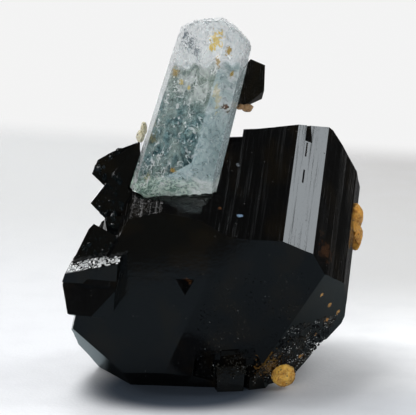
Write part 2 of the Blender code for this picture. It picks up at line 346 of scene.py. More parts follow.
class Graph:
    """A node tree that is filled in a few words."""

    def __init__(self, tree: Group) -> None:
        """Start on an empty tree."""
        self.tree = tree
        tree.nodes.clear()

    def add(self, kind: str, values: dict | None = None, **settings: object) -> bpy.types.Node:
        """Place a node.

        Args:
            kind: Its type without the ShaderNode prefix, or the full name.
            values: Input values or the sockets that feed them, by input name or number.
            settings: The node's own settings.

        Returns:
            The node.
        """
        node = self.tree.nodes.new(kind if kind.startswith(("Shader", "Node")) else "ShaderNode" + kind)
        for name, value in settings.items():
            setattr(node, name, value)
        for key, value in (values or {}).items():
            if isinstance(value, Socket):
                self.tree.links.new(value, node.inputs[key])
            else:
                node.inputs[key].default_value = value
        return node

    def maths(self, operation: str, *values: object) -> Socket:
        """Work out a number from sockets or numbers."""
        return self.add("Math", dict(enumerate(values)), operation=operation).outputs[0]

    def plus(self, first: object, second: object) -> Socket:
        """Add two numbers."""
        return self.maths("ADD", first, second)

    def minus(self, first: object, second: object) -> Socket:
        """Take the second number from the first."""
        return self.maths("SUBTRACT", first, second)

    def times(self, first: object, second: object) -> Socket:
        """Multiply two numbers."""
        return self.maths("MULTIPLY", first, second)

    def share(self, first: object, second: object) -> Socket:
        """Divide the first number by the second."""
        return self.maths("DIVIDE", first, second)

    def larger(self, first: object, second: object) -> Socket:
        """Take the larger of two numbers."""
        return self.maths("MAXIMUM", first, second)

    def vector(self, operation: str, *values: object) -> Socket:
        """Work out a vector from vectors."""
        return self.add("VectorMath", dict(enumerate(values)), operation=operation).outputs[0]

    def measure(self, operation: str, *values: object) -> Socket:
        """Work out a number from vectors."""
        return self.add("VectorMath", dict(enumerate(values)), operation=operation).outputs["Value"]

    def scaled(self, vector: object, scale: object) -> Socket:
        """Multiply a vector by a number."""
        return self.add("VectorMath", {0: vector, 3: scale}, operation="SCALE").outputs[0]

    def noise(self, place: object, detail: object, scale: float = 1.0, **others: object) -> Socket:
        """Read cloudy noise at a place."""
        values = {"Vector": place, "Scale": scale, "Detail": detail, **others}
        return self.add("TexNoise", values).outputs["Fac"]

    def ramp(self, value: object, low: object, high: object, start: float = 0, end: float = 1) -> Socket:
        """Spread a range of values smoothly over another range."""
        values = {0: value, 1: low, 2: high, 3: start, 4: end}
        return self.add("MapRange", values, interpolation_type="SMOOTHSTEP").outputs[0]

    def mix(self, amount: object, first: object, second: object) -> Socket:
        """Mix two colours.

        Args:
            amount: How much there is of the second.
            first: A colour or its socket.
            second: Another.

        Returns:
            The mixed colour.
        """
        made = self.add("Mix", {0: amount}, data_type="RGBA")
        for number, value in ((6, first), (7, second)):
            if isinstance(value, Socket):
                self.tree.links.new(value, made.inputs[number])
            else:
                made.inputs[number].default_value = (*value, 1)
        return made.outputs[2]

    def lay(self, mask: object, strength: object, base: object, colour: object) -> Socket:
        """Lay a colour over another where a mask is, as strongly as given."""
        return self.mix(self.times(mask, strength), base, colour)

    def place(self, scale: object = PER_METRE) -> Socket:
        """Read the place on the specimen, in millimetres unless the scale differs."""
        return self.scaled(self.add("TexCoord").outputs["Object"], scale)

    def use(self, group: Group, **values: object) -> bpy.types.Node:
        """Place a group.

        Args:
            group: The group.
            values: Its values or the sockets that feed them, by input name.

        Returns:
            The node.
        """
        node = self.tree.nodes.new("ShaderNodeGroup")
        node.node_tree = group
        for name, value in values.items():
            if isinstance(value, Socket):
                self.tree.links.new(value, node.inputs[name])
            else:
                node.inputs[name].default_value = value
        return node


@dataclass
class Effects:
    """The effects that several finishes share, as shader node groups."""

    mottle: Group = field(init=False)
    specks: Group = field(init=False)
    stain: Group = field(init=False)
    striae: Group = field(init=False)
    curls: Group = field(init=False)

    def __post_init__(self) -> None:
        """Build each group once."""
        self.mottle = self.make_mottle()
        self.specks = self.make_specks()
        self.stain = self.make_stain()
        self.striae = self.make_striae()
        self.curls = self.make_curls()

    @staticmethod
    def group(
        name: str, inputs: dict[str, tuple[str, object]], outputs: list[str],
    ) -> tuple[Group, Graph, bpy.types.Node]:
        """Start a node group.

        Args:
            name: Its name.
            inputs: Its input names, each with a socket type and a default.
            outputs: The names of its number outputs.

        Returns:
            The group, its graph and its input node.
        """
        tree = bpy.data.node_groups.new(name, "ShaderNodeTree")
        for label, (kind, default) in inputs.items():
            socket = tree.interface.new_socket(label, in_out="INPUT", socket_type="NodeSocket" + kind)
            socket.default_value = default
        for label in outputs:
            tree.interface.new_socket(label, in_out="OUTPUT", socket_type="NodeSocketFloat")
        graph = Graph(tree)
        return tree, graph, graph.add("NodeGroupInput")

    def make_mottle(self) -> Group:
        """Build cloudy patches: a mask that the specimen's own place decides.

        Returns:
            The group.
        """
        tree, g, given = self.group(
            "mottle",
            {"Size": ("Float", 1.0), "Detail": ("Float", 4.0), "Twist": ("Float", 0.0),
             "Low": ("Float", 0.4), "High": ("Float", 0.6)},
            ["Mask", "Height"],
        )
        place = g.place(g.share(PER_METRE, given.outputs["Size"]))
        cloud = g.noise(place, given.outputs["Detail"], Distortion=given.outputs["Twist"])
        mask = g.ramp(cloud, given.outputs["Low"], given.outputs["High"])
        g.add("NodeGroupOutput", {"Mask": mask, "Height": cloud})
        return tree

    def make_specks(self) -> Group:
        """Build scattered specks, such as dust and tiny grains.

        Returns:
            The group.
        """
        tree, g, given = self.group(
            "specks",
            {"Spacing": ("Float", 1.0), "Speck": ("Float", 0.2), "Share": ("Float", 0.5)},
            ["Mask", "Height"],
        )
        place = g.place(g.share(PER_METRE, given.outputs["Spacing"]))
        cells = g.add("TexVoronoi", {"Vector": place, "Scale": 1.0})
        rim = g.share(given.outputs["Speck"], given.outputs["Spacing"])
        near = g.larger(g.minus(1.0, g.share(cells.outputs["Distance"], rim)), 0.0)
        luck = g.add("SeparateColor", {0: cells.outputs["Color"]}).outputs[0]
        height = g.times(near, g.maths("LESS_THAN", luck, given.outputs["Share"]))
        g.add("NodeGroupOutput", {"Mask": g.ramp(height, 0.0, 0.4), "Height": height})
        return tree

    def make_stain(self) -> Group:
        """Build one ragged stain about a place.

        Returns:
            The group.
        """
        tree, g, given = self.group(
            "stain",
            {"Centre": ("Vector", (0, 0, 0)), "Squeeze": ("Vector", (1, 1, 1)), "Radius": ("Float", 1.0),
             "Ragged": ("Float", 0.6), "Grain": ("Float", 0.5)},
            ["Mask"],
        )
        away = g.vector("SUBTRACT", g.place(), given.outputs["Centre"])
        away = g.measure("LENGTH", g.vector("MULTIPLY", away, given.outputs["Squeeze"]))
        cloud = g.noise(g.place(g.share(PER_METRE, given.outputs["Grain"])), 3.0)
        push = g.times(g.minus(cloud, 0.5), given.outputs["Ragged"])
        level = g.minus(g.share(away, given.outputs["Radius"]), g.times(push, 4.0))
        g.add("NodeGroupOutput", {"Mask": g.ramp(level, 1.0, 0.5)})
        return tree

    def make_curls(self) -> Group:
        """Build thin curling lines as a mask, used for painted glints and painted shade.

        Returns:
            The group.
        """
        tree, g, given = self.group(
            "curls",
            {"Size": ("Float", 1.0), "Thickness": ("Float", 0.05), "Twist": ("Float", 1.0),
             "Share": ("Float", 0.5)},
            ["Mask"],
        )
        place = g.place(g.share(PER_METRE, given.outputs["Size"]))
        cloud = g.noise(place, 3.0, Distortion=given.outputs["Twist"])
        away = g.maths("ABSOLUTE", g.minus(cloud, 0.5))
        thread = g.ramp(g.share(away, given.outputs["Thickness"]), 1.0, 0.2)
        lowest = g.minus(0.85, g.times(given.outputs["Share"], 0.6))
        kept = g.ramp(g.noise(place, 2.0, 1.7), lowest, 0.72)
        g.add("NodeGroupOutput", {"Mask": g.times(thread, kept)})
        return tree

    def make_striae(self) -> Group:
        """Build fine lines that run along a crystal's axis on its long sides only.

        Returns:
            The group.
        """
        tree, g, given = self.group(
            "striae",
            {"Axis": ("Vector", (0, 0, 1)), "Width": ("Float", 0.5), "Length": ("Float", 30.0)},
            ["Mask", "Height"],
        )
        place, axis = g.place(), given.outputs["Axis"]
        lengthwise = g.scaled(axis, g.measure("DOT_PRODUCT", place, axis))
        sideways = g.vector("SUBTRACT", place, lengthwise)
        kept = g.scaled(lengthwise, g.share(given.outputs["Width"], given.outputs["Length"]))
        spot = g.scaled(g.vector("ADD", sideways, kept), g.share(1.0, given.outputs["Width"]))
        lines = g.noise(spot, 3.0, Roughness=0.6)
        normal = g.add("NewGeometry").outputs["True Normal"]
        side = g.ramp(g.maths("ABSOLUTE", g.measure("DOT_PRODUCT", normal, axis)), 0.45, 0.2)
        g.add("NodeGroupOutput", {
            "Mask": g.times(g.ramp(lines, 0.5, 0.68), side), "Height": g.times(lines, side),
        })
        return tree


@dataclass(frozen=True)
class Stain:
    """A coloured stain: its middle, size, colour and strength."""

    centre: Point
    radius: float
    colour: Colour
    strength: float = 1.0
    ragged: float = 0.6
    grain: float = 0.5
    squeeze: Point = (1, 1, 1)

    def over(self, g: Graph, effects: Effects, base: object) -> Socket:
        """Lay the stain over a colour.

        Args:
            g: The material's graph.
            effects: The shared node groups.
            base: The colour underneath.

        Returns:
            The stained colour.
        """
        mask = g.use(
            effects.stain, Centre=self.centre, Squeeze=self.squeeze, Radius=self.radius, Ragged=self.ragged,
            Grain=self.grain,
        ).outputs["Mask"]
        return g.lay(mask, self.strength, base, self.colour)


def new_material(name: str) -> tuple[Material, Graph]:
    """Start a material.

    Args:
        name: Its name.

    Returns:
        The material and its empty graph.
    """
    made = bpy.data.materials.new(name)
    made.use_nodes = True
    return made, Graph(made.node_tree)


@dataclass(frozen=True)
class TourmalineFinish:
    """Glassy black tourmaline."""

    axis: Vector
    name: str = "black tourmaline"
    colour: Colour = (0.0018, 0.0020, 0.0022)
    warm: Colour = (0.0045, 0.0035, 0.0022)
    worn_line: Colour = (0.016, 0.017, 0.018)
    roughness: Span = (0.02, 0.10)
    relief: float = 0.10
    lines: float = 0.18
    line_width: float = 0.32
    line_length: float = 14.0
    dull_lines: float = 0.22
    dull_dust_and_glints: float = 0.3
    ior: float = 1.65
    stains: tuple[Stain, ...] = ()
    patch_size: float = 6.0
    grain_size: float = 0.5
    # Specks in clusters: dust on the big crystal, and on the crusts pale specks that are partly pale grains
    # and partly painted glints
    dust_and_glint_clusters: float = 2.4
    dust_and_glints: float = 0.12
    dust_and_glint_size: Span = (0.7, 0.12)
    dust_and_glint_cover: float = 0.5
    dust_and_glint_colour: Colour = (0.05, 0.05, 0.045)

    def build(self, effects: Effects) -> Material:
        """Build the material.

        Args:
            effects: The shared node groups.

        Returns:
            The material.
        """
        made, g = new_material(self.name)
        patches = g.use(effects.mottle, Size=self.patch_size, Detail=3.0, Low=0.45, High=0.65)
        fine = g.use(effects.mottle, Size=self.grain_size, Detail=5.0, Low=0.4, High=0.7)
        striae = g.use(effects.striae, Axis=tuple(self.axis), Width=self.line_width, Length=self.line_length)
        # Lay the specks: dust, and on the crusts pale specks that are partly painted glints
        spacing, speck = self.dust_and_glint_size
        specks = g.use(effects.specks, Spacing=spacing, Speck=speck, Share=self.dust_and_glints)
        clusters = g.use(effects.mottle, Size=self.dust_and_glint_clusters, Detail=4.0, Low=0.46, High=0.60)
        dust_and_glints = g.times(specks.outputs["Mask"], clusters.outputs["Mask"])
        colour: object = g.mix(patches.outputs["Mask"], self.colour, self.warm)
        colour = g.lay(striae.outputs["Mask"], 0.35, colour, self.worn_line)
        colour = g.lay(dust_and_glints, self.dust_and_glint_cover, colour, self.dust_and_glint_colour)
        for stain in self.stains:
            colour = stain.over(g, effects, colour)
        rough = g.ramp(patches.outputs["Height"], 0.35, 0.7, *self.roughness)
        rough = g.plus(rough, g.times(dust_and_glints, self.dull_dust_and_glints))
        rough = g.plus(rough, g.times(striae.outputs["Mask"], self.dull_lines))
        height = g.plus(fine.outputs["Height"], g.times(dust_and_glints, 0.6))
        bump = g.add("Bump", {"Strength": self.relief, "Distance": 0.2 * MM, "Height": height})
        scored = g.add("Bump", {
            "Strength": self.lines, "Distance": 0.1 * MM, "Height": striae.outputs["Height"],
            "Normal": bump.outputs[0],
        })
        shader = g.add("BsdfPrincipled", {
            "Base Color": colour, "Roughness": rough, "IOR": self.ior, "Normal": scored.outputs[0],
        })
        g.add("OutputMaterial", {0: shader.outputs[0]})
        return made


@dataclass(frozen=True)
class AquamarineFinish:
    """Clear pale blue beryl, frosted where it is etched, cloudy within and stained with iron.

    Each border between two zones is given as the two heights over which one turns into the other.
    """

    base: Vector
    axis: Vector
    right: Vector
    top_border: Span = (26.6, 27.8)
    cloud_border: Span = (17.4, 23.0)
    foot_border: Span = (8.8, 7.2)
    lit_right_border: Span = (-0.25, -0.05)
    # Facets that look this far to the left are painted white: a painted highlight
    sliver_highlight_border: Span = (-0.80, -0.88)
    border_waves: float = 6.0
    top_slant: float = 0.3
    foot_slant: float = 0.28
    # Between the foot and the cloudy upper part the prism is coloured dark
    dusky: Colour = (0.018, 0.060, 0.070)
    dusky_pale: Colour = (0.22, 0.36, 0.37)
    cloudy: Colour = (0.15, 0.20, 0.17)
    cloudy_light: Colour = (0.46, 0.54, 0.48)
    # Painted light: the facets that look to the right are coloured paler
    right_side: Colour = (0.34, 0.45, 0.46)
    right_light: Colour = (0.48, 0.60, 0.61)
    foot: Colour = (0.24, 0.38, 0.31)
    foot_light: Colour = (0.70, 0.85, 0.74)
    frost: Colour = (1.0, 1.0, 1.0)
    frost_dark: Colour = (0.84, 0.90, 0.91)
    frost_shadow: Colour = (0.16, 0.22, 0.26)
    pit_shade: Colour = (0.10, 0.14, 0.17)
    shadow: Colour = (0.06, 0.12, 0.14)
    foot_shadow: Colour = (0.06, 0.12, 0.12)
    white: Colour = (0.98, 0.99, 0.99)
    roughness: Span = (0.04, 0.22)
    relief: float = 0.75
    transmission: float = 0.62
    ior: float = 1.577
    absorption: Colour = (0.62, 0.86, 0.87)
    density: float = 9.0
    stains: tuple[Stain, ...] = ()

    def build(self, effects: Effects) -> Material:
        """Build the material.

        Args:
            effects: The shared node groups.

        Returns:
            The material.
        """
        made, g = new_material("aquamarine")
        place = g.vector("SUBTRACT", g.place(), tuple(self.base))
        along = g.measure("DOT_PRODUCT", place, tuple(self.axis))
        sideways = g.measure("DOT_PRODUCT", place, tuple(self.right))
        normal = g.add("NewGeometry").outputs["True Normal"]
        looks = g.measure("DOT_PRODUCT", normal, tuple(self.right))
        wide = g.use(effects.mottle, Size=4.5, Detail=5.0, Twist=0.8, Low=0.38, High=0.62)
        swirl = g.use(effects.mottle, Size=2.4, Detail=8.0, Twist=0.9, Low=0.42, High=0.66).outputs["Mask"]
        ice = g.use(effects.mottle, Size=0.85, Detail=6.0, Twist=1.4, Low=0.42, High=0.58)
        fine = g.use(effects.mottle, Size=0.45, Detail=3.0, Twist=0.5, Low=0.42, High=0.58).outputs["Mask"]
        # The white curling lines and the specks are painted glints; the dark curling lines are painted shade
        glint_threads = g.use(effects.curls, Size=2.6, Thickness=0.03, Twist=0.9, Share=0.9).outputs["Mask"]
        shadows = g.use(effects.curls, Size=1.7, Thickness=0.045, Twist=0.8, Share=0.9).outputs["Mask"]
        glints = g.use(effects.specks, Spacing=0.9, Speck=0.24, Share=0.4)
        pits = g.use(effects.specks, Spacing=0.9, Speck=0.34, Share=0.45)
        icy = ice.outputs["Mask"]

        wavy = g.plus(along, g.times(wide.outputs["Height"], self.border_waves))
        top = g.ramp(g.minus(wavy, g.times(sideways, self.top_slant)), *self.top_border)
        cloud_part = g.ramp(wavy, *self.cloud_border)
        foot_part = g.ramp(g.minus(wavy, g.times(sideways, self.foot_slant)), *self.foot_border)
        lit_right_part = g.ramp(looks, *self.lit_right_border)
        sliver_highlight = g.ramp(looks, *self.sliver_highlight_border)

        # The prism is coloured dark between its foot and its cloudy upper part
        dusky = g.lay(icy, 0.75, self.dusky, self.dusky_pale)
        dusky = g.lay(swirl, 0.55, dusky, self.cloudy_light)
        cloudy = g.lay(icy, 0.6, self.cloudy, self.cloudy_light)
        cloudy = g.lay(swirl, 0.5, cloudy, self.white)
        colour: object = g.mix(cloud_part, dusky, cloudy)
        # Painted light: the facets that look right are painted paler, whiter where the crystal is cloudy
        right = g.mix(wide.outputs["Mask"], self.right_side, self.right_light)
        right = g.lay(icy, 0.12, right, self.white)
        right = g.lay(cloud_part, g.times(swirl, 0.7), right, self.white)
        colour = g.lay(lit_right_part, 0.9, colour, right)
        colour = g.lay(shadows, 0.45, colour, self.shadow)
        foot = g.mix(icy, self.foot, self.foot_light)
        # Painted light: the foot is painted whiter towards its right side
        foot = g.lay(swirl, g.ramp(sideways, -4.0, 6.0, 0.2, 0.9), foot, self.white)
        foot = g.lay(g.ramp(sideways, 0.5, 6.0), 0.65, foot, self.white)
        colour = g.mix(foot_part, colour, foot)
        colour = g.lay(shadows, 0.2, colour, self.foot_shadow)
        frost = g.lay(icy, 0.8, self.frost_dark, self.frost)
        frost = g.lay(fine, 0.7, frost, self.frost)
        frost = g.lay(shadows, 0.5, frost, self.frost_shadow)
        # Painted shade: the etched pits are darkened where the relief dips
        frost = g.lay(pits.outputs["Mask"], 0.5, frost, self.pit_shade)
        colour = g.mix(top, colour, frost)
        # Painted glints: white specks and lines, weaker on the paler right-facing facets
        glint_mask = g.larger(glints.outputs["Mask"], glint_threads)
        colour = g.lay(glint_mask, g.ramp(lit_right_part, 0.0, 1.0, 0.85, 0.45), colour, self.white)
        for stain in self.stains:
            colour = stain.over(g, effects, colour)
        # Painted highlight: the narrow left facets, seen edge on, are painted white
        colour = g.lay(sliver_highlight, 0.92, colour, self.white)

        rough = g.ramp(g.larger(top, g.times(foot_part, 0.5)), 0.0, 1.0, *self.roughness)
        rough = g.plus(rough, g.times(wide.outputs["Mask"], 0.08))
        height = g.plus(ice.outputs["Height"], g.times(glints.outputs["Height"], 0.7))
        height = g.minus(height, g.times(g.times(pits.outputs["Height"], top), 0.8))
        height = g.minus(height, g.times(glint_threads, 0.3))
        height = g.times(height, g.ramp(g.larger(top, foot_part), 0.0, 1.0, 0.4, 1.0))
        bump = g.add("Bump", {"Strength": self.relief, "Distance": 0.4 * MM, "Height": height})
        shader = g.add("BsdfPrincipled", {
            "Base Color": colour, "Roughness": rough, "IOR": self.ior, "Normal": bump.outputs[0],
            "Transmission Weight": self.transmission,
        })
        depth = g.add("VolumeAbsorption", {"Color": (*self.absorption, 1), "Density": self.density})
        g.add("OutputMaterial", {0: shader.outputs[0], 1: depth.outputs[0]})
        return made


@dataclass(frozen=True)
class VeilFinish:
    """A healed crack inside the beryl: a sheet of tiny droplets."""

    name: str = "veil"
    colour: Colour = (0.96, 0.99, 0.99)
    size: float = 1.4
    cover: Span = (0.50, 0.68)
    strongest: float = 0.85
    roughness: float = 0.55
    ior: float = 1.08

    def build(self, effects: Effects) -> Material:
        """Build the material.

        Args:
            effects: The shared node groups.

        Returns:
            The material.
        """
        made, g = new_material(self.name)
        low, high = self.cover
        cloud = g.use(effects.mottle, Size=self.size, Detail=6.0, Twist=1.2, Low=low, High=high)
        drops = g.use(effects.specks, Spacing=0.35, Speck=0.2, Share=0.45)
        mask = g.larger(cloud.outputs["Mask"], g.times(drops.outputs["Mask"], 0.7))
        shader = g.add("BsdfPrincipled", {
            "Base Color": (*self.colour, 1), "Roughness": self.roughness, "IOR": self.ior,
            "Transmission Weight": 1.0, "Alpha": g.times(mask, self.strongest),
        })
        g.add("OutputMaterial", {0: shader.outputs[0]})
        return made


@dataclass(frozen=True)
class CrackFinish:
    """An open crack inside the beryl: a thin film of air, which shines where it is seen edge on."""

    colour: Colour = (0.97, 0.99, 0.99)
    dark: Colour = (0.70, 0.80, 0.82)
    roughness: Span = (0.03, 0.25)
    ior: float = 0.634

    def build(self, effects: Effects) -> Material:
        """Build the material.

        Args:
            effects: The shared node groups.

        Returns:
            The material.
        """
        made, g = new_material("cracks")
        patches = g.use(effects.mottle, Size=0.6, Detail=3.0, Low=0.4, High=0.6)
        shader = g.add("BsdfPrincipled", {
            "Base Color": g.mix(patches.outputs["Mask"], self.colour, self.dark),
            "Roughness": g.ramp(patches.outputs["Height"], 0.3, 0.7, *self.roughness),
            "IOR": self.ior, "Transmission Weight": 1.0,
        })
        g.add("OutputMaterial", {0: shader.outputs[0]})
        return made


@dataclass(frozen=True)
class FeldsparFinish:
    """Dull granular feldspar."""

    name: str
    light: Colour
    dark: Colour
    stain: Colour
    transmission: float = 0.0
    bit: Colour = (0.05, 0.04, 0.03)
    roughness: Span = (0.45, 0.8)
    relief: float = 0.8
    glow: float = 0.15
    glow_reach_m: Colour = (0.0006, 0.0004, 0.0002)

    def build(self, effects: Effects) -> Material:
        """Build the material.

        Args:
            effects: The shared node groups.

        Returns:
            The material.
        """
        made, g = new_material(self.name)
        wide = g.use(effects.mottle, Size=1.6, Detail=4.0, Twist=0.8, Low=0.4, High=0.6)
        fine = g.use(effects.mottle, Size=0.35, Detail=5.0, Low=0.35, High=0.7)
        bits = g.use(effects.specks, Spacing=0.5, Speck=0.2, Share=0.35)
        colour = g.mix(wide.outputs["Mask"], self.light, self.dark)
        colour = g.lay(fine.outputs["Mask"], 0.45, colour, self.stain)
        colour = g.lay(bits.outputs["Mask"], 0.7, colour, self.bit)
        height = g.plus(fine.outputs["Height"], g.times(wide.outputs["Height"], 0.5))
        bump = g.add("Bump", {"Strength": self.relief, "Distance": 0.2 * MM, "Height": height})
        shader = g.add("BsdfPrincipled", {
            "Base Color": colour, "Roughness": g.ramp(fine.outputs["Height"], 0.3, 0.7, *self.roughness),
            "Normal": bump.outputs[0], "Subsurface Weight": self.glow, "Subsurface Radius": self.glow_reach_m,
            "Transmission Weight": self.transmission,
        })
        g.add("OutputMaterial", {0: shader.outputs[0]})
        return made


# The black tourmaline


@dataclass
class BlackTourmaline:
    """The stout black crystal that carries the rest, with its growths, crusts and broken root."""

    axis: Vector = field(default_factory=lambda: Vector((-0.13, -0.70, -0.70)).normalized())
    half_length: float = 60.0
    section: tuple[Span, ...] = (
        (-15.2, 32.8), (-9.6, 34.6), (-3.0, 34.5), (4.3, 32.6), (11.1, 31.6), (16.3, 29.3), (19.0, 25.5),
        (21.9, 20.0), (22.7, 15.0), (22.6, 10.5), (20.3, 3.0), (15.0, -4.0), (6.0, -8.57), (-7.8, -9.77),
        (-18.3, -5.0), (-23.4, 5.7), (-23.7, 15.5), (-22.9, 19.2),
    )
    # How steep the fine ridges are on each side of the section, in degrees
    ridge_slopes: tuple[float, ...] = (1.2, 1.2, 1.2, 1.2, 2.6, 2.2, 2.6, 3.0, 4.5, 8, 8, 8, 8, 8, 8, 8, 8, 8)
    ridge_width: Span = (0.16, 0.6)
    # How often a ridge is a bolder one, and how much steeper it is then
    bold_share: float = 0.07
    bold_slope: float = 2.2
    # How much of each step's height is carried on to the next, and how fast ridges fade in from a corner
    ridge_carry: float = 0.86
    ridge_fade: float = 0.3
    root_distance: float = 23.4
    faces: tuple[Plane, ...] = (
        (FRONT_RIGHT, 14.1), (FRONT_LEFT, 16.8), (UNDER_LEFT, 12.23), (UNDER_FRONT, 6.41),
        (UNDER_RIGHT, 12.2), (LOWER_RIGHT, 11.2), (ROOT_BACK, 23.36), (ROOT_RIGHT, 40.75),
    )
    growths: dict[str, Sequence[Plane]] = field(default_factory=lambda: {
        "upper column": [
            (FRONT_LEFT, 9.9), ((-95, -6.8), 12.6), ((-140, 46.6), 31.8), ((100, 35.7), 12.9),
            (UNDER_LEFT, 4.5), (RIGHT, -8.0), (BACK, 11.0),
        ],
        "upper": [
            (FRONT_LEFT, 8.58), ((-95, 23.5), 32.8), ((-110, 59.1), 41.8), ((-140, 62.7), 38.6),
            ((-95, -46.7), -13.1), (RIGHT, -12.0), (BACK, 10.5),
        ],
        "middle": [
            (FRONT_LEFT, 11.86), ((-95, 37.2), 35.1), ((-95, -44.3), -8.4), (RIGHT, -12.0), (BACK, 8.0),
        ],
        "recess": [
            (FRONT_LEFT, 13.6), ((-95, -8.6), 12.3), ((180, 77.8), 27.2), (UNDER_LEFT, 4.5),
            (RIGHT, -12.0), (BACK, 6.0),
        ],
        "lower": [
            (FRONT_LEFT, 15.32), ((-95, 26.6), 30.2), ((-110, 44.0), 30.6), ((120, 56.4), 11.3),
            ((106, -74.2), -27.8), (RIGHT, -12.0), (BACK, 3.0),
        ],
        "lowest": [
            ((-14, -6), 20.05), ((-95, 20.1), 29.1), ((-95, -16.0), 18.05), ((-20, -72.6), -6.7),
            ((-74, 74.2), 28.5), ((80, -5), -14.1), ((85, -42), -21.6), (BACK, 0.0),
        ],
        "lowest front": [
            ((-8, -5), 20.5), ((-34, 14), 30.7), ((-12, 38), 30.05), ((-95, 20.1), 28.2),
            ((-95, -16.0), 17.8), ((-74, 74.2), 28.0), ((-20, -72.6), -6.6), ((80, -5), -14.0),
            ((85, -42), -21.4), (BACK, 0.0),
        ],
    })
    root_steps: tuple[tuple[Plane, Plane], ...] = (
        (((17, -38), -21.9), ((83, -4), 2.9)), (((17, -38), -20.0), ((83, -4), 0.6)),
    )
    bites: tuple[tuple[Plane, ...], ...] = (
        (((186, 9), -11.3), ((-80, 10), 6.4), ((70, 20), 14.0), ((0, 70), 12.6)),
        (((-14, 85), 21.9), ((140, -22), -31.2)),
        (((255, 41), -10.1), ((0, 80), 7.3), ((0, -90), -2.4)),
    )
    notches: tuple[tuple[Point, tuple[Plane, ...]], ...] = (
        ((17.05, -1.7, 41.6), (
            ((84.7, -5.3), 0.5), ((-95.3, 5.3), 0.7), ((-10.5, -44.5), 0.3), ((192, -40), 0.134))),
        ((16.5, -3.3, 40.2), (
            ((143.4, -42.4), 0.12), ((253.5, -6.0), 0.12), ((-10.5, -44.5), 1.3), ((169.5, 44.5), 1.6))),
        ((15.85, -7.0, 36.4), (
            ((143.4, -42.4), 0.10), ((253.5, -6.0), 0.08), ((-12.5, -42.5), 1.4), ((166.5, 45.5), 1.3))),
    )
    growth_steps: tuple[tuple[Plane, ...], ...] = (
        (((170, 2.5), -16.57), ((20, -88), -20.4), ((-60, 86), 22.6), ((90, 0), -5.6), ((-90, 0), 14.3)),
        (((170, 1.6), -16.90), ((-30, -87), -18.3), ((40, 87), 19.5), ((80, 0), -6.8), ((-95, 0), 12.6)),
        (((170, 2.9), -16.46), ((0, -89), -20.15), ((0, 89), 20.4), ((90, 0), -7.0), ((-90, 0), 10.4)),
        (((172, 1.5), -16.93), ((-40, -84), -24.0), ((20, 84), 25.3), ((90, 0), -8.0), ((-90, 0), 13.0)),
    )
    stubs: tuple[tuple[Point, tuple[Plane, ...]], ...] = (
        ((-1.6, -10.0, 3.2), (((-12, -48), 2.3), ((-75, 5), 2.0), ((80, -5), 2.4), ((-20, 55), 3.4))),
        ((3.2, -9.5, 2.0), (((6, 6), 4.1), ((-80, 0), 2.9), ((84, -4), 2.9), ((4, 62), 3.9))),
        ((7.6, -9.0, 1.8), (((22, -14), 3.6), ((-70, 0), 2.4), ((75, 8), 2.2), ((10, 50), 3.2))),
        ((3.0, -8.5, 6.2), (((10, -20), 3.6), ((-70, 0), 2.6), ((70, 0), 3.0), ((10, 40), 3.6))),
    )
    pit_middle: Point = (-4.4, -17.0, 19.7)
    pit_half: float = 0.75
    pit_slope: float = 40.0
    break_cell: float = 0.85
    break_depth: float = 2.0
    break_ledge: float = 0.5
    break_reach: float = 34.0
    break_thickness: float = 20.0
    rim_across: float = 13.0
    rim_up: float = 28.5
    rim_lift: float = 0.4
    rim_notch: float = 2.2

    def ridged(self) -> list[Span]:
        """Carry fine lengthwise ridges round the section.

        Returns:
            The section's points, with low irregular steps between its corners.
        """
        dice = random.Random(4)
        points = []
        corners = list(self.section)
        for (x0, y0), (x1, y1), slope in zip(corners, corners[1:] + corners[:1], self.ridge_slopes):
            side = math.hypot(x1 - x0, y1 - y0)
            inward = ((y1 - y0) / side, -(x1 - x0) / side)
            marks, heights = [0.0], [0.0]
            while marks[-1] < side - self.ridge_width[1]:
                step = dice.uniform(*self.ridge_width)
                tilt = dice.gauss(0, slope) * (self.bold_slope if dice.random() < self.bold_share else 1.0)
                marks.append(marks[-1] + step)
                heights.append(heights[-1] * self.ridge_carry + step * math.tan(math.radians(tilt)))
            low = max(heights)
            for mark, height in zip(marks, heights):
                sunk = (low - height) * min(1.0, mark * self.ridge_fade, (side - mark) * self.ridge_fade)
                k = mark / side
                points.append((x0 + (x1 - x0) * k + inward[0] * sunk, y0 + (y1 - y0) * k + inward[1] * sunk))
        return points

    def pit(self) -> Mesh:
        """Shape the triangular growth pit, as the piece that is missing.

        Returns:
            A closed mesh.
        """
        outward, side, up = face_frame(FRONT_LEFT)
        slope = math.radians(self.pit_slope)
        mesh = bmesh.new()
        bmesh.ops.create_cube(mesh, size=SMALL_BLOCK)
        bmesh.ops.translate(mesh, verts=mesh.verts, vec=self.pit_middle)
        cleave(mesh, outward, 1.0, Vector(self.pit_middle))
        for turn in (90, 210, 330):
            flat = side * math.cos(math.radians(turn)) + up * math.sin(math.radians(turn))
            normal = flat * math.cos(slope) - outward * math.sin(slope)
            cleave(mesh, normal, self.pit_half, Vector(self.pit_middle))
        return mesh

    def break_at(self, point: Vector) -> float:
        """Find how far the broken root lies below its flat plane.

        Args:
            point: A place on that plane.

        Returns:
            The depth, in ledges and small hollows.
        """
        right, forward = across(self.axis)
        stepped = 0.0
        for (_, level), (sideways, edge) in self.root_steps:
            if direction(sideways).dot(point) < edge:
                stepped = max(stepped, self.root_distance + level)
        if point.dot(right) > self.rim_across or point.dot(forward) > self.rim_up:
            return stepped - self.rim_lift + max(0.0, noise.noise(point * 0.9) - 0.12) * self.rim_notch
        rough = 0.5 + 0.5 * noise.noise(point * 0.09 + Vector((3, 0, 0))) + 0.35 * noise.noise(point * 0.3)
        ledges = round(max(0.0, min(1.0, rough)) * self.break_depth / self.break_ledge)
        fine = 0.15 * noise.noise(point * 1.1) + 0.06 * fractal(point * 2.1, 3)
        return stepped + ledges * self.break_ledge + fine

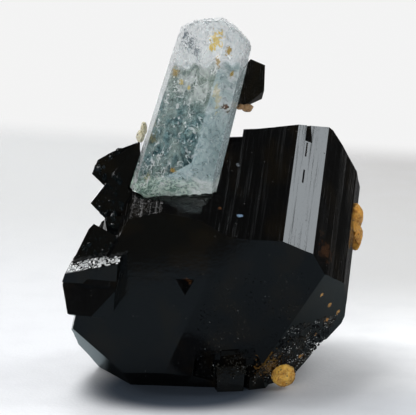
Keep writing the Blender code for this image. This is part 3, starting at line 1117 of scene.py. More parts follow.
    def root_break(self) -> Mesh:
        """Shape the piece broken away at the root, with an uneven near side.

        Returns:
            A closed mesh.
        """
        outward, side, up = face_frame(ROOT_BACK)
        steps = round(2 * self.break_reach / self.break_cell)
        marks = [k * self.break_cell - self.break_reach for k in range(steps + 1)]
        mesh = bmesh.new()
        rows = []
        for b in marks:
            flat = [outward * self.root_distance + side * a + up * b for a in marks]
            rows.append([mesh.verts.new(point - outward * self.break_at(point)) for point in flat])
        for low, high in zip(rows, rows[1:]):
            for a, b, c, d in zip(low, low[1:], high[1:], high):
                mesh.faces.new((a, b, c))
                mesh.faces.new((a, c, d))
        drawn = bmesh.ops.extrude_face_region(mesh, geom=mesh.faces[:])
        for vert in [v for v in drawn["geom"] if isinstance(v, bmesh.types.BMVert)]:
            vert.co += outward * (self.root_distance + self.break_thickness - vert.co.dot(outward))
        bmesh.ops.recalc_face_normals(mesh, faces=mesh.faces)
        return mesh

    def body(self, gap: Mesh) -> Object:
        """Shape the whole crystal.

        Args:
            gap: The space kept free for the aquamarine, which is used up.

        Returns:
            The crystal, in millimetres.
        """
        mesh = bar(self.ridged(), self.axis, -self.half_length, self.half_length)
        for facing, distance in self.faces:
            cleave(mesh, direction(facing), distance)
        made = as_object(mesh, "tourmaline_crystal")
        carve(made, self.root_break(), Cut.CUT)
        for planes in self.root_steps:
            carve(made, crystal(planes), Cut.CUT)
        for centre, planes in self.notches:
            carve(made, crystal(planes, centre, SMALL_BLOCK), Cut.CUT)
        for planes in self.growth_steps:
            carve(made, crystal(planes), Cut.CUT)
        for planes in self.growths.values():
            carve(made, crystal(planes), Cut.JOIN)
        for planes in self.bites:
            carve(made, crystal(planes), Cut.CUT)
        for centre, planes in self.stubs:
            carve(made, crystal(planes, centre, SMALL_BLOCK), Cut.JOIN)
        carve(made, self.pit(), Cut.CUT)
        carve(made, gap, Cut.CUT)
        carve(made, crystal([((0, 90), BLOCK / 2), ((0, -90), 0.0)]), Cut.KEEP)
        return made

    def build(self, effects: Effects, gap: Mesh) -> list[Object]:
        """Make and dress the crystal.

        Args:
            effects: The shared node groups.
            gap: The space kept free for the aquamarine.

        Returns:
            The finished pieces.
        """
        finish = TourmalineFinish(self.axis, stains=(
            Stain((19.4, -12.9, 24.6), 1.9, (0.045, 0.020, 0.009), 0.75, 1.0, 0.7),
            Stain((19.8, -12.2, 28.0), 1.1, (0.030, 0.018, 0.010), 0.6, 1.0, 0.6),
            Stain((-4.0, -17.0, 20.2), 0.8, (0.045, 0.018, 0.006), 0.8, 0.5),
            Stain((1.5, -15.2, 32.5), 0.35, (0.10, 0.045, 0.02), 0.8, 0.3),
            Stain((20.5, -9.4, 14.2), 0.6, (0.42, 0.22, 0.06), 0.8, 0.5, 0.3),
            Stain((19.0, -12.9, 16.9), 0.45, (0.50, 0.27, 0.08), 0.9, 0.5, 0.3),
            Stain((22.1, -6.3, 12.2), 0.5, (0.45, 0.25, 0.08), 0.8, 0.5, 0.3),
            Stain((15.5, -7.2, 4.5), 0.5, (0.40, 0.22, 0.07), 0.8, 0.5, 0.3),
            Stain((9.6, -12.4, 4.2), 1.9, (0.13, 0.07, 0.02), 0.85, 1.0, 0.5),
            # A painted glint: a small pale blue spot where a tiny facet catches the light
            Stain((4.9, -15.2, 31.2), 0.55, (0.20, 0.30, 0.42), 0.9, 0.3, 0.3, (0.8, 1.0, 2.0)),
            Stain((4.6, -8.3, 38.6), 0.4, (0.16, 0.18, 0.20), 0.7, 0.4, 0.3),
        )).build(effects)
        return [dress(self.body(gap), finish, ("black_tourmaline",))]


@dataclass
class Grains:
    """Fine crystals grown parallel to the big one, in a crust on one of its faces."""

    name: str
    facing: Facing
    distance: float
    across: Span
    up: Span
    count: int
    radii: Span
    tilt: float
    seed: int
    bounds: tuple[Plane, ...]
    keep_clear: float = 0.3
    cluster: float = 0.0
    # How much rarer large crystals are than small ones
    rarity: float = 2.2
    # The faces that each little crystal may end in
    facets: tuple[Facing, ...] = (FRONT_RIGHT, UNDER_RIGHT, UNDER_LEFT, (10, 30))
    # Its shape, in its own radii
    uneven: Span = (0.8, 1.2)
    length: Span = (-1.6, 2.0)
    top_cut: Span = (0.2, 0.6)
    side_cut: Span = (0.3, 0.9)

    def grow(self, host: BlackTourmaline, point: Vector, dice: random.Random, mesh: Mesh) -> None:
        """Add one little crystal, unless it would leave the size box.

        Args:
            host: The big crystal.
            point: Where it stands on the face.
            dice: The source of its differences.
            mesh: The mesh that it is added to.
        """
        outward = direction(self.facing)
        radius = self.radii[0] + (self.radii[1] - self.radii[0]) * dice.random() ** self.rarity
        turn = dice.uniform(0, 20)
        section = [
            (radius * math.cos(math.radians(turn - 60 * k)) * dice.uniform(*self.uneven),
             radius * math.sin(math.radians(turn - 60 * k)) * dice.uniform(*self.uneven))
            for k in range(6)
        ]
        grain = bar(section, host.axis, self.length[0] * radius, self.length[1] * radius)
        cleave(grain, outward, radius * dice.uniform(*self.top_cut))
        for facet in self.facets:
            if facet != self.facing:
                cleave(grain, direction(facet), radius * dice.uniform(*self.side_cut))
        axis = Vector((dice.gauss(0, 1), dice.gauss(0, 1), dice.gauss(0, 1))).normalized()
        turned = Quaternion(axis, math.radians(dice.gauss(0, self.tilt)))
        places = [point + turned @ v.co for v in grain.verts]
        low, high = CAD_BOX
        if all(low[k] < co[k] * MM < high[k] for co in places for k in range(3)):
            made = [mesh.verts.new(co) for co in places]
            grain.verts.index_update()
            for face in grain.faces:
                mesh.faces.new([made[v.index] for v in face.verts])
        grain.free()

    def build(self, host: BlackTourmaline, material: Material) -> Object:
        """Make and dress the crust.

        Args:
            host: The big crystal.
            material: Its finish.

        Returns:
            The crust.
        """
        dice = random.Random(self.seed)
        outward, side, up = face_frame(self.facing)
        mesh = bmesh.new()
        others = [f for f in self.bounds if f[0] != self.facing]
        made = 0
        while made < self.count:
            point = outward * self.distance + side * dice.uniform(*self.across) + up * dice.uniform(*self.up)
            if any(direction(f).dot(point) > d - self.keep_clear for f, d in others):
                continue
            if self.cluster and fractal(point * 0.35, 3) < dice.uniform(-0.4, self.cluster):
                continue
            self.grow(host, point, dice, mesh)
            made += 1
        return dress(as_object(mesh, self.name), material)


@dataclass
class Crusts:
    """The crusts of little crystals on the big one."""

    host: BlackTourmaline
    rust: Stain = Stain((10.4, -12.2, 4.2), 1.8, (0.12, 0.07, 0.025), 0.8, 0.9, 0.5)
    ochre_spots: tuple[Stain, ...] = (
        Stain((20.5, -9.4, 14.2), 0.7, (0.42, 0.22, 0.06), 0.9, 0.5, 0.3),
        Stain((22.1, -6.3, 12.2), 0.6, (0.45, 0.25, 0.08), 0.9, 0.5, 0.3),
        Stain((20.0, -7.5, 11.2), 0.6, (0.40, 0.20, 0.06), 0.9, 0.5, 0.3),
        Stain((18.2, -7.3, 8.6), 0.5, (0.40, 0.20, 0.06), 0.9, 0.5, 0.3),
        Stain((15.5, -7.2, 4.5), 0.6, (0.40, 0.22, 0.07), 0.9, 0.5, 0.3),
    )

    # Each crust on the growths: its growth, distance, reach across and up, count, radii, tilt and seed
    on_growths: tuple[tuple, ...] = (
        ("upper", 8.58, (-23, -12), (31, 42), 90, (0.1, 0.7), 5, 14),
        ("middle", 11.86, (-23, -13), (26, 38), 60, (0.1, 0.6), 5, 15),
        ("recess", 13.6, (-21, -12), (18, 33), 90, (0.1, 0.6), 7, 16),
        ("lower", 15.32, (-25, -12), (18, 28), 60, (0.1, 0.5), 5, 17),
    )

    def finishes(self) -> dict[str, TourmalineFinish]:
        """List the finishes of the crusts.

        Returns:
            Each finish by the name of its group of crusts.
        """
        axis = self.host.axis
        return {
            # The pale specks here are partly pale grains and partly painted glints, where the fine crust
            # sparkles
            "right": TourmalineFinish(
                axis, name="tourmaline grains", colour=(0.004, 0.0045, 0.005), warm=(0.030, 0.026, 0.020),
                roughness=(0.03, 0.14), relief=0.1, dust_and_glints=0.5, dust_and_glint_size=(0.3, 0.13), dust_and_glint_cover=0.85,
                dust_and_glint_colour=(0.50, 0.53, 0.53), stains=(*self.ochre_spots, self.rust),
            ),
            # The grey specks here are partly grains and partly painted glints
            "front": TourmalineFinish(
                axis, name="front grains", colour=(0.004, 0.0045, 0.005), warm=(0.020, 0.019, 0.015),
                roughness=(0.03, 0.2), relief=0.15, dust_and_glints=0.3, dust_and_glint_size=(0.35, 0.12), dust_and_glint_cover=0.8,
                dust_and_glint_colour=(0.20, 0.23, 0.24), stains=(self.rust,),
            ),
            "growths": TourmalineFinish(
                axis, name="tourmaline growths", colour=(0.0022, 0.0042, 0.005), warm=(0.010, 0.015, 0.018),
                roughness=(0.05, 0.30), relief=0.25, lines=0.3, dust_and_glints=0.12, dust_and_glint_size=(0.5, 0.10),
                dust_and_glint_cover=0.6, dust_and_glint_colour=(0.30, 0.32, 0.33),
            ),
            # Painted highlight: these grains are coloured near white to stand in for the bright sheen of the
            # top facet of the lowest growth
            "painted_glitter": TourmalineFinish(
                axis, name="glittering grains", colour=(0.62, 0.64, 0.64), warm=(0.88, 0.90, 0.90),
                roughness=(0.10, 0.40), relief=0.3, dust_and_glints=0.3, dust_and_glint_size=(0.4, 0.14), dust_and_glint_cover=0.9,
                dust_and_glint_colour=(0.06, 0.07, 0.07),
            ),
        }

    def crusts(self) -> dict[str, tuple[Grains, ...]]:
        """List the crusts in the order in which they are made.

        Returns:
            The crusts of each group.
        """
        faces, growths = self.host.faces, self.host.growths
        return {
            # The painted highlight crust on the top facet of the lowest growth
            "painted_glitter": (Grains(
                "painted_glitter_left", (-74, 74.2), 28.5, (3.0, 16.0), (-21.5, -12.0), 650, (0.06, 0.24), 40, 13,
                tuple(growths["lowest"]), 0.1,
            ),),
            "right": (Grains(
                "crust_right", UNDER_RIGHT, 12.2, (-4.5, 11.5), (3.5, 19.5), 1900, (0.05, 0.32), 50, 11,
                faces,
            ),),
            "front": (Grains(
                "crust_front", FRONT_RIGHT, 14.1, (-4.0, 15.0), (4.5, 24.0), 900, (0.035, 0.16), 50, 12,
                faces, cluster=0.30,
            ),),
            "growths": tuple(
                Grains(f"growths_{growth}", FRONT_LEFT, *rest, tuple(growths[growth]), 0.1)
                for growth, *rest in self.on_growths
            ),
        }

    def build(self, effects: Effects) -> list[Object]:
        """Make and dress the crusts.

        Args:
            effects: The shared node groups.

        Returns:
            The finished crusts.
        """
        materials = {group: finish.build(effects) for group, finish in self.finishes().items()}
        return [
            grains.build(self.host, materials[group])
            for group, crusts in self.crusts().items() for grains in crusts
        ]


# The aquamarine


@dataclass
class Aquamarine:
    """The pale blue prism, with its etched top, broken foot, veils and stains."""

    axis: Vector = field(default_factory=lambda: Vector((0.272, 0.08, 1.0)).normalized())
    base: Vector = field(default_factory=lambda: Vector((-7.0, -13.7, 33.1)))
    sides: tuple[tuple[float, float, float], ...] = (
        (-40, 3.70, 1.0), (20, 6.20, 0.5), (75, 6.95, 1.4), (110, 6.85, 1.2), (140, 6.50, 0.8),
        (200, 6.20, 0.5), (260, 7.60, 2.4), (-72, 6.05, 2.4),
    )
    ends: tuple[tuple[Point, float], ...] = (
        ((-0.83, 1.0, 0.0), 26.2), ((-0.355, 1.0, 0.0), 30.35), ((0.297, 1.0, 0.0), 31.2),
        ((0.612, 1.0, 0.0), 28.6), ((1.41, 1.0, 0.0), 22.1), ((0.03, -0.62, 0.78), -0.4),
        ((0.36, -0.93, 0.0), -1.0), ((-0.23, -0.97, 0.0), 1.3), ((-0.8, -0.6, 0.1), 5.2),
    )
    joint_gap: float = 0.3
    bevel: float = 0.13
    facet: float = 0.42
    top_relief: float = 0.55
    foot_relief: float = 0.9
    # The heights from which and up to which it is etched, and over how much the etching fades
    top_start: float = 24.0
    foot_end: float = 7.5
    fade: float = 4.0
    # The relief eases off this near to a corner
    corner: float = 0.6
    veil_steps: int = 24
    veil_margin: float = 0.9
    flake_room: tuple[Span, Span, Span] = ((-7, 7), (-6, 6), (0, 31))
    flake_margin: float = 0.25
    flake_thickness: float = 0.07

    @property
    def frame(self) -> tuple[Vector, Vector]:
        """The directions to its right and its front."""
        right, _ = across(self.axis)
        return right, right.cross(self.axis)

    def planes(self) -> list[tuple[Vector, float]]:
        """List the planes that bound the prism.

        Returns:
            The outward direction of each, and its distance from the middle of the foot.
        """
        right, front = self.frame
        made = []
        for angle, distance, taper in self.sides:
            a, t = math.radians(angle), math.radians(taper)
            outward = front * math.cos(a) + right * math.sin(a)
            made.append((outward * math.cos(t) + self.axis * math.sin(t), distance))
        for (sideways, along, forward), distance in self.ends:
            normal = (right * sideways + self.axis * along + front * forward).normalized()
            made.append((normal, distance))
        return made

    def solid(self, gap: float = 0.0) -> Mesh:
        """Cleave the prism out of a block.

        Args:
            gap: How far its faces are moved outward.

        Returns:
            The closed mesh.
        """
        mesh = bmesh.new()
        bmesh.ops.create_cube(mesh, size=BLOCK)
        bmesh.ops.translate(mesh, verts=mesh.verts, vec=self.base)
        for normal, distance in self.planes():
            cleave(mesh, normal, distance + gap, self.base)
        return mesh

    def relief(self, place: Vector, ended: bool) -> float:
        """Find how deep the surface is etched at a place.

        Args:
            place: The place.
            ended: Whether it lies on the faces that end the prism.

        Returns:
            The depth below the flat face.
        """
        along = (place - self.base).dot(self.axis)
        wide = noise.noise(place * 0.5)
        top = max(0.0, min(1.0, (along - self.top_start + 3.0 * wide) / self.fade))
        foot = max(0.0, min(1.0, (self.foot_end - along + 2.0 * wide) / self.fade))
        lumps = 0.5 + 0.5 * fractal(place * 0.9, 4)
        pits = max(0.0, noise.noise(place * 1.7 + Vector((9, 2, 4))) - 0.15) * 2.0
        sides = 0.02 + 0.03 * noise.noise(Vector((place.x * 1.4, place.y * 1.4, along * 0.12)))
        depth = sides + top * self.top_relief * (0.45 * lumps + 0.8 * pits)
        depth += foot * self.foot_relief * (0.6 * lumps + 0.3 * pits)
        if ended and top > 0:
            depth += 0.25 * top * abs(fractal(place * 2.2, 3))
        return max(0.0, depth)

    def body(self) -> Object:
        """Shape the prism with its relief, which only ever lies inside the flat faces.

        Returns:
            The prism, in millimetres.
        """
        mesh = self.solid()
        edges = mesh.edges[:]
        bmesh.ops.bevel(mesh, geom=edges, offset=self.bevel, segments=1, affect="EDGES", profile=0.5)
        right, front = self.frame
        slice_up(mesh, self.facet, [self.axis, right, front])
        bmesh.ops.triangulate(mesh, faces=mesh.faces[:])
        bounds = self.planes()
        for vert in mesh.verts:
            place = vert.co - self.base
            near = sorted(distance - normal.dot(place) for normal, distance in bounds)
            touching = [(n, d) for n, d in bounds if d - n.dot(place) < 0.01]
            push = Vector()
            for normal, _ in touching:
                push -= normal
            if not push.length:
                continue
            push.normalize()
            ended = any(normal.dot(self.axis) > 0.3 for normal, _ in touching)
            ease = min(1.0, near[len(touching)] / self.corner) if len(touching) < len(near) else 1.0
            depth = self.relief(vert.co.copy(), ended) * (0.5 + 0.5 * ease)
            vert.co += push * depth
        return as_object(mesh, "aquamarine_prism")

    def veil(self, name: str, centre: Point, facing: Facing, size: Span, seed: int) -> Object:
        """Shape one curved sheet inside the prism.

        Args:
            name: The sheet's name.
            centre: Its middle.
            facing: Where it looks.
            size: Its width and height.
            seed: The source of its waves.

        Returns:
            The sheet, in millimetres.
        """
        outward, side, up = face_frame(facing)
        mesh = bmesh.new()
        steps = self.veil_steps
        bounds = self.planes()
        grid = []
        for j in range(steps + 1):
            row = []
            for i in range(steps + 1):
                u, v = i / steps - 0.5, j / steps - 0.5
                wave = 0.9 * noise.noise(Vector((u * 2.5, v * 2.5, seed)))
                wave += 0.3 * noise.noise(Vector((u * 7, v * 7, seed + 5)))
                place = Vector(centre) + side * u * size[0] + up * v * size[1] + outward * wave
                row.append(mesh.verts.new(place))
            grid.append(row)
        for low, high in zip(grid, grid[1:]):
            for a, b, c, d in zip(low, low[1:], high[1:], high):
                quad = (a, b, c, d)
                middle = sum((v.co for v in quad), Vector()) / 4 - self.base
                u = abs(low.index(a) / steps - 0.5) * 2
                v = abs(grid.index(low) / steps - 0.5) * 2
                ragged = 0.75 + 0.3 * noise.noise(Vector((middle.x, middle.z, seed)))
                inside = all(n.dot(middle) < d - self.veil_margin for n, d in bounds)
                if inside and math.hypot(u, v) < ragged:
                    mesh.faces.new(quad)
        bmesh.ops.delete(mesh, geom=[v for v in mesh.verts if not v.link_faces], context="VERTS")
        return as_object(mesh, name)

    def flakes(self, name: str, count: int, radii: Span, seed: int) -> Object:
        """Scatter small flat cracks inside the prism.

        Args:
            name: The piece's name.
            count: How many cracks there are.
            radii: The smallest and largest radius.
            seed: The source of their places.

        Returns:
            All the cracks in one object, in millimetres.
        """
        dice = random.Random(seed)
        right, front = self.frame
        bounds = self.planes()
        mesh = bmesh.new()
        made = 0
        while made < count:
            sideways, forward, along = [dice.uniform(*span) for span in self.flake_room]
            place = right * sideways + front * forward + self.axis * along
            radius = radii[0] + (radii[1] - radii[0]) * dice.random() ** 2
            if any(normal.dot(place) > distance - self.flake_margin - radius for normal, distance in bounds):
                continue
            outward = Vector((dice.gauss(0, 1), dice.gauss(0, 1), dice.gauss(0, 1))).normalized()
            side = outward.orthogonal().normalized()
            up = outward.cross(side)
            squash = dice.uniform(0.3, 1.0)
            rim = []
            for k in range(8):
                turn = math.radians(45 * k)
                reach = radius * dice.uniform(0.65, 1.0)
                bend = outward * 0.12 * radius * dice.uniform(-1, 1)
                spot = self.base + place + side * reach * math.cos(turn)
                rim.append(mesh.verts.new(spot + up * reach * squash * math.sin(turn) + bend))
            lift = outward * self.flake_thickness * radius
            tips = [mesh.verts.new(self.base + place + lift * way) for way in (1, -1)]
            for a, b in zip(rim, rim[1:] + rim[:1]):
                mesh.faces.new((tips[0], a, b))
                mesh.faces.new((tips[1], b, a))
            made += 1
        return as_object(mesh, name)

    def build(self, effects: Effects) -> list[Object]:
        """Make and dress the prism and what is inside it.

        Args:
            effects: The shared node groups.

        Returns:
            The finished pieces.
        """
        ochre, orange, rust = (0.84, 0.56, 0.02), (0.50, 0.27, 0.0), (0.14, 0.04, 0.001)
        olive, blot = (0.16, 0.14, 0.05), (0.06, 0.09, 0.12)
        right, _ = self.frame
        finish = AquamarineFinish(self.base, self.axis, right, stains=(
            Stain((0.7, -15.8, 61.2), 1.5, ochre, 0.85, 1.0),
            Stain((0.2, -15.5, 60.0), 0.9, ochre, 0.8, 1.0),
            Stain((1.6, -16.1, 62.2), 0.6, ochre, 0.7, 0.8),
            Stain((1.2, -17.1, 57.9), 1.0, orange, 0.85, 0.8, 0.5, (2.6, 1.0, 0.9)),
            Stain((2.9, -16.9, 59.4), 1.1, orange, 0.95, 0.8, 0.5, (2.0, 1.0, 1.0)),
            Stain((3.5, -16.7, 55.4), 0.6, orange, 0.9, 0.8, 0.5, (1.6, 1.0, 1.0)),
            Stain((-6.0, -12.3, 55.2), 0.8, orange, 0.7, 1.0, 0.4),
            Stain((-5.0, -13.6, 53.8), 0.5, ochre, 0.6, 0.8),
            Stain((-3.6, -14.8, 53.0), 0.4, ochre, 0.6, 0.8),
            Stain((-2.4, -15.4, 51.0), 0.4, ochre, 0.5, 0.8),
            Stain((2.4, -17.1, 50.1), 0.8, rust, 0.95, 0.8, 0.4, (1.0, 1.0, 1.5)),
            Stain((3.2, -16.9, 49.3), 0.5, rust, 0.95, 0.8, 0.4),
            Stain((1.0, -17.3, 52.0), 1.6, ochre, 0.35, 0.9, 0.5, (3.0, 1.0, 0.6)),
            Stain((-9.8, -12.7, 43.9), 1.0, olive, 0.85, 0.9),
            Stain((-10.0, -12.0, 47.0), 1.4, olive, 0.5, 1.0, 0.6, (1.5, 1.0, 0.7)),
            Stain((-6.5, -17.0, 39.3), 0.7, orange, 0.9, 0.8, 0.4, (0.8, 1.0, 1.6)),
            Stain((-10.4, -13.6, 37.4), 0.8, (0.5, 0.4, 0.12), 0.5, 1.0),
            Stain((-4.4, -11.5, 61.4), 0.8, blot, 0.8, 1.2, 0.35),
            Stain((-3.6, -12.3, 60.2), 1.2, blot, 0.75, 1.4, 0.35),
            Stain((-2.5, -13.8, 59.0), 0.8, blot, 0.7, 1.2, 0.35),
            Stain((-5.6, -11.0, 58.6), 0.6, blot, 0.6, 1.2, 0.35),
            Stain((4.6, -15.2, 53.0), 0.4, blot, 0.8, 0.8, 0.35),
        )).build(effects)
        prism = dress(self.body(), finish, ("aquamarine",), smooth_deg=28)
        veil = VeilFinish().build(effects)
        # A dark translucent sheet in the lower left of the prism
        dusky_veil = VeilFinish(
            name="smoky veil", colour=(0.16, 0.26, 0.28), size=2.4, cover=(0.40, 0.62), strongest=0.55,
            ior=1.02,
        ).build(effects)
        crack = CrackFinish().build(effects)
        sheets = (
            ("veil_low", (-7.5, -13.2, 44.8), (-30, 25), (10.0, 6.0), 1, veil),
            ("veil_middle", (-4.5, -13.0, 50.0), (-10, 35), (10.0, 9.0), 2, veil),
            ("veil_right", (0.0, -13.0, 44.0), (30, 10), (7.0, 14.0), 3, veil),
            ("veil_top", (-1.5, -12.5, 56.0), (0, 50), (12.0, 9.0), 4, veil),
            ("veil_foot", (-6.0, -14.0, 38.0), (0, 30), (11.0, 7.0), 5, veil),
            ("dusky_veil_low", (-7.0, -11.5, 43.0), (-35, 5), (12.0, 13.0), 6, dusky_veil),
        )
        made = [prism]
        for name, centre, facing, size, seed, material in sheets:
            sheet = self.veil(name, centre, facing, size, seed)
            made.append(dress(sheet, material, smooth_deg=180))
        cracks = (("cracks_fine", 420, (0.12, 0.5), 21), ("cracks_wide", 60, (0.5, 1.3), 22))
        for name, count, radii, seed in cracks:
            made.append(dress(self.flakes(name, count, radii, seed), crack))
        return made


# The small tourmaline and the feldspar


@dataclass
class SmallTourmaline:
    """The small dark crystal on the back of the aquamarine."""

    planes: tuple[Plane, ...] = (
        ((20, 4), 14.5), ((130, 63.9), 50.9), ((95, -2.3), 6.2), ((60, -40.8), -24.55), ((180, -80), -49.77),
        ((-120, 34.6), 23.9), ((-90, 0), -3.8), ((180, 0), -3.5),
    )

    def build(self, effects: Effects, gap: Mesh) -> list[Object]:
        """Make and dress the crystal.

        Args:
            effects: The shared node groups.
            gap: The space kept free for the aquamarine.

        Returns:
            The finished piece.
        """
        made = as_object(crystal(self.planes), "small_crystal")
        carve(made, gap, Cut.CUT)
        finish = TourmalineFinish(
            Vector((0, 0, 1)), name="brown-black tourmaline", colour=(0.005, 0.0045, 0.003),
            warm=(0.010, 0.0075, 0.004), roughness=(0.05, 0.16), relief=0.12, lines=0.1,
        ).build(effects)
        return [dress(made, finish, ("small_tourmaline",))]


@dataclass(frozen=True)
class FeldsparLump:
    """A grain of feldspar, or a few grown together."""

    name: str
    node: str
    slot: Slot
    finish: FeldsparFinish
    parts: tuple[tuple[Point, Point], ...]
    on_aquamarine: bool = False
    coarse: float = 0.16
    fine: float = 0.05
    # How many flat cleavage faces each grain has, and how far from its middle they are
    flats: int = 9
    flat_at: float = 0.80
    widest: float = 0.99
    subdivisions: int = 5
    smooth_deg: float = 40

    def grain(self, centre: Point, half: Point) -> Object:
        """Shape one grain.

        Args:
            centre: Its middle.
            half: Half its size each way.

        Returns:
            The grain, in millimetres.
        """
        dice = random.Random(round(1000 * centre[0]))
        mesh = bmesh.new()
        bmesh.ops.create_icosphere(mesh, subdivisions=self.subdivisions, radius=1.0)
        cuts = [Vector([dice.gauss(0, 1) for _ in range(3)]).normalized() for _ in range(self.flats)]
        for vert in mesh.verts:
            for normal in cuts:
                vert.co -= normal * max(0.0, normal.dot(vert.co) - self.flat_at)
            swell = min(self.widest, 1 + self.coarse * noise.noise(vert.co * 1.7 + Vector(centre)))
            swell -= self.fine * (0.6 + fractal(vert.co * 4.0 + Vector(centre), 4))
            vert.co = Vector(centre) + Vector([c * swell * h for c, h in zip(vert.co, half)])
        return as_object(mesh, self.name)

    def build(self, material: Material, aquamarine: Aquamarine) -> Object:
        """Make and dress the lump.

        Args:
            material: Its finish.
            aquamarine: The crystal that some lumps grow on.

        Returns:
            The lump.
        """
        made, *others = [self.grain(centre, half) for centre, half in self.parts]
        for other in others:
            combine(made, other, Cut.JOIN)
        if self.on_aquamarine:
            carve(made, aquamarine.solid(aquamarine.joint_gap), Cut.CUT)
        return dress(made, material, (self.node,), smooth_deg=self.smooth_deg)


@dataclass
class Feldspar:
    """The lumps of feldspar about the crystals."""

    lumps: tuple[FeldsparLump, ...] = (
        FeldsparLump(
            "ochre_crust", "feldspar_crust", Slot.OCHRE,
            FeldsparFinish("ochre feldspar", (0.60, 0.27, 0.03), (0.32, 0.12, 0.015), (0.78, 0.50, 0.14)),
            (((25.3, 3.6, 27.0), (1.7, 2.4, 2.9)), ((25.6, 5.2, 23.0), (1.6, 2.8, 2.5)),
             ((24.9, 8.4, 25.8), (1.8, 2.6, 2.8))),
        ),
        FeldsparLump(
            "tan_pebble", "feldspar_pebble", Slot.OCHRE,
            FeldsparFinish("tan feldspar", (0.66, 0.36, 0.05), (0.36, 0.15, 0.015), (0.82, 0.62, 0.22)),
            (((12.5, -11.3, 2.25), (2.2, 2.0, 2.1)),),
        ),
        FeldsparLump(
            "cream_chip", "pale_feldspar_chip", Slot.PALE,
            FeldsparFinish("pale feldspar", (0.66, 0.62, 0.46), (0.45, 0.40, 0.24), (0.80, 0.78, 0.66), 0.2),
            (((-11.9, -12.2, 44.4), (0.8, 1.3, 1.2)), ((-11.3, -12.2, 45.7), (0.65, 1.1, 1.2))),
            on_aquamarine=True,
        ),
        FeldsparLump(
            "brown_crumb", "brown_feldspar_crumb", Slot.BROWN,
            FeldsparFinish("brown feldspar", (0.32, 0.19, 0.09), (0.20, 0.11, 0.05), (0.45, 0.30, 0.16)),
            (((6.2, -9.6, 48.7), (1.1, 1.0, 0.75)), ((4.9, -9.8, 48.9), (0.8, 0.9, 0.6))),
            on_aquamarine=True,
        ),
    )

    def build(self, effects: Effects, aquamarine: Aquamarine) -> list[Object]:
        """Make and dress the lumps.

        Args:
            effects: The shared node groups.
            aquamarine: The crystal that some lumps grow on.

        Returns:
            The finished lumps.
        """
        materials = [lump.finish.build(effects) for lump in self.lumps]
        return [lump.build(material, aquamarine) for lump, material in zip(self.lumps, materials)]


# The studio


@dataclass(frozen=True)
class Softbox:
    """A soft studio light."""

    name: str
    place_m: Point
    aim_m: Point
    size_m: Span
    watts: float
    colour: Colour = (1, 1, 1)
    reach: Reach = Reach.ALL

    def build(self) -> Object:
        """Hang the light.

        Returns:
            The light.
        """
        data = bpy.data.lights.new(self.name, "AREA")
        data.shape = "RECTANGLE"
        data.size, data.size_y = self.size_m
        data.energy = self.watts
        data.color = self.colour
        made = enter(self.name, data)
        aim(made, self.place_m, self.aim_m)
        made.visible_camera = False
        made.visible_diffuse = self.reach is not Reach.MIRRORED
        made.visible_transmission = self.reach is not Reach.MIRRORED
        made.visible_glossy = self.reach is not Reach.MATTE
        return made


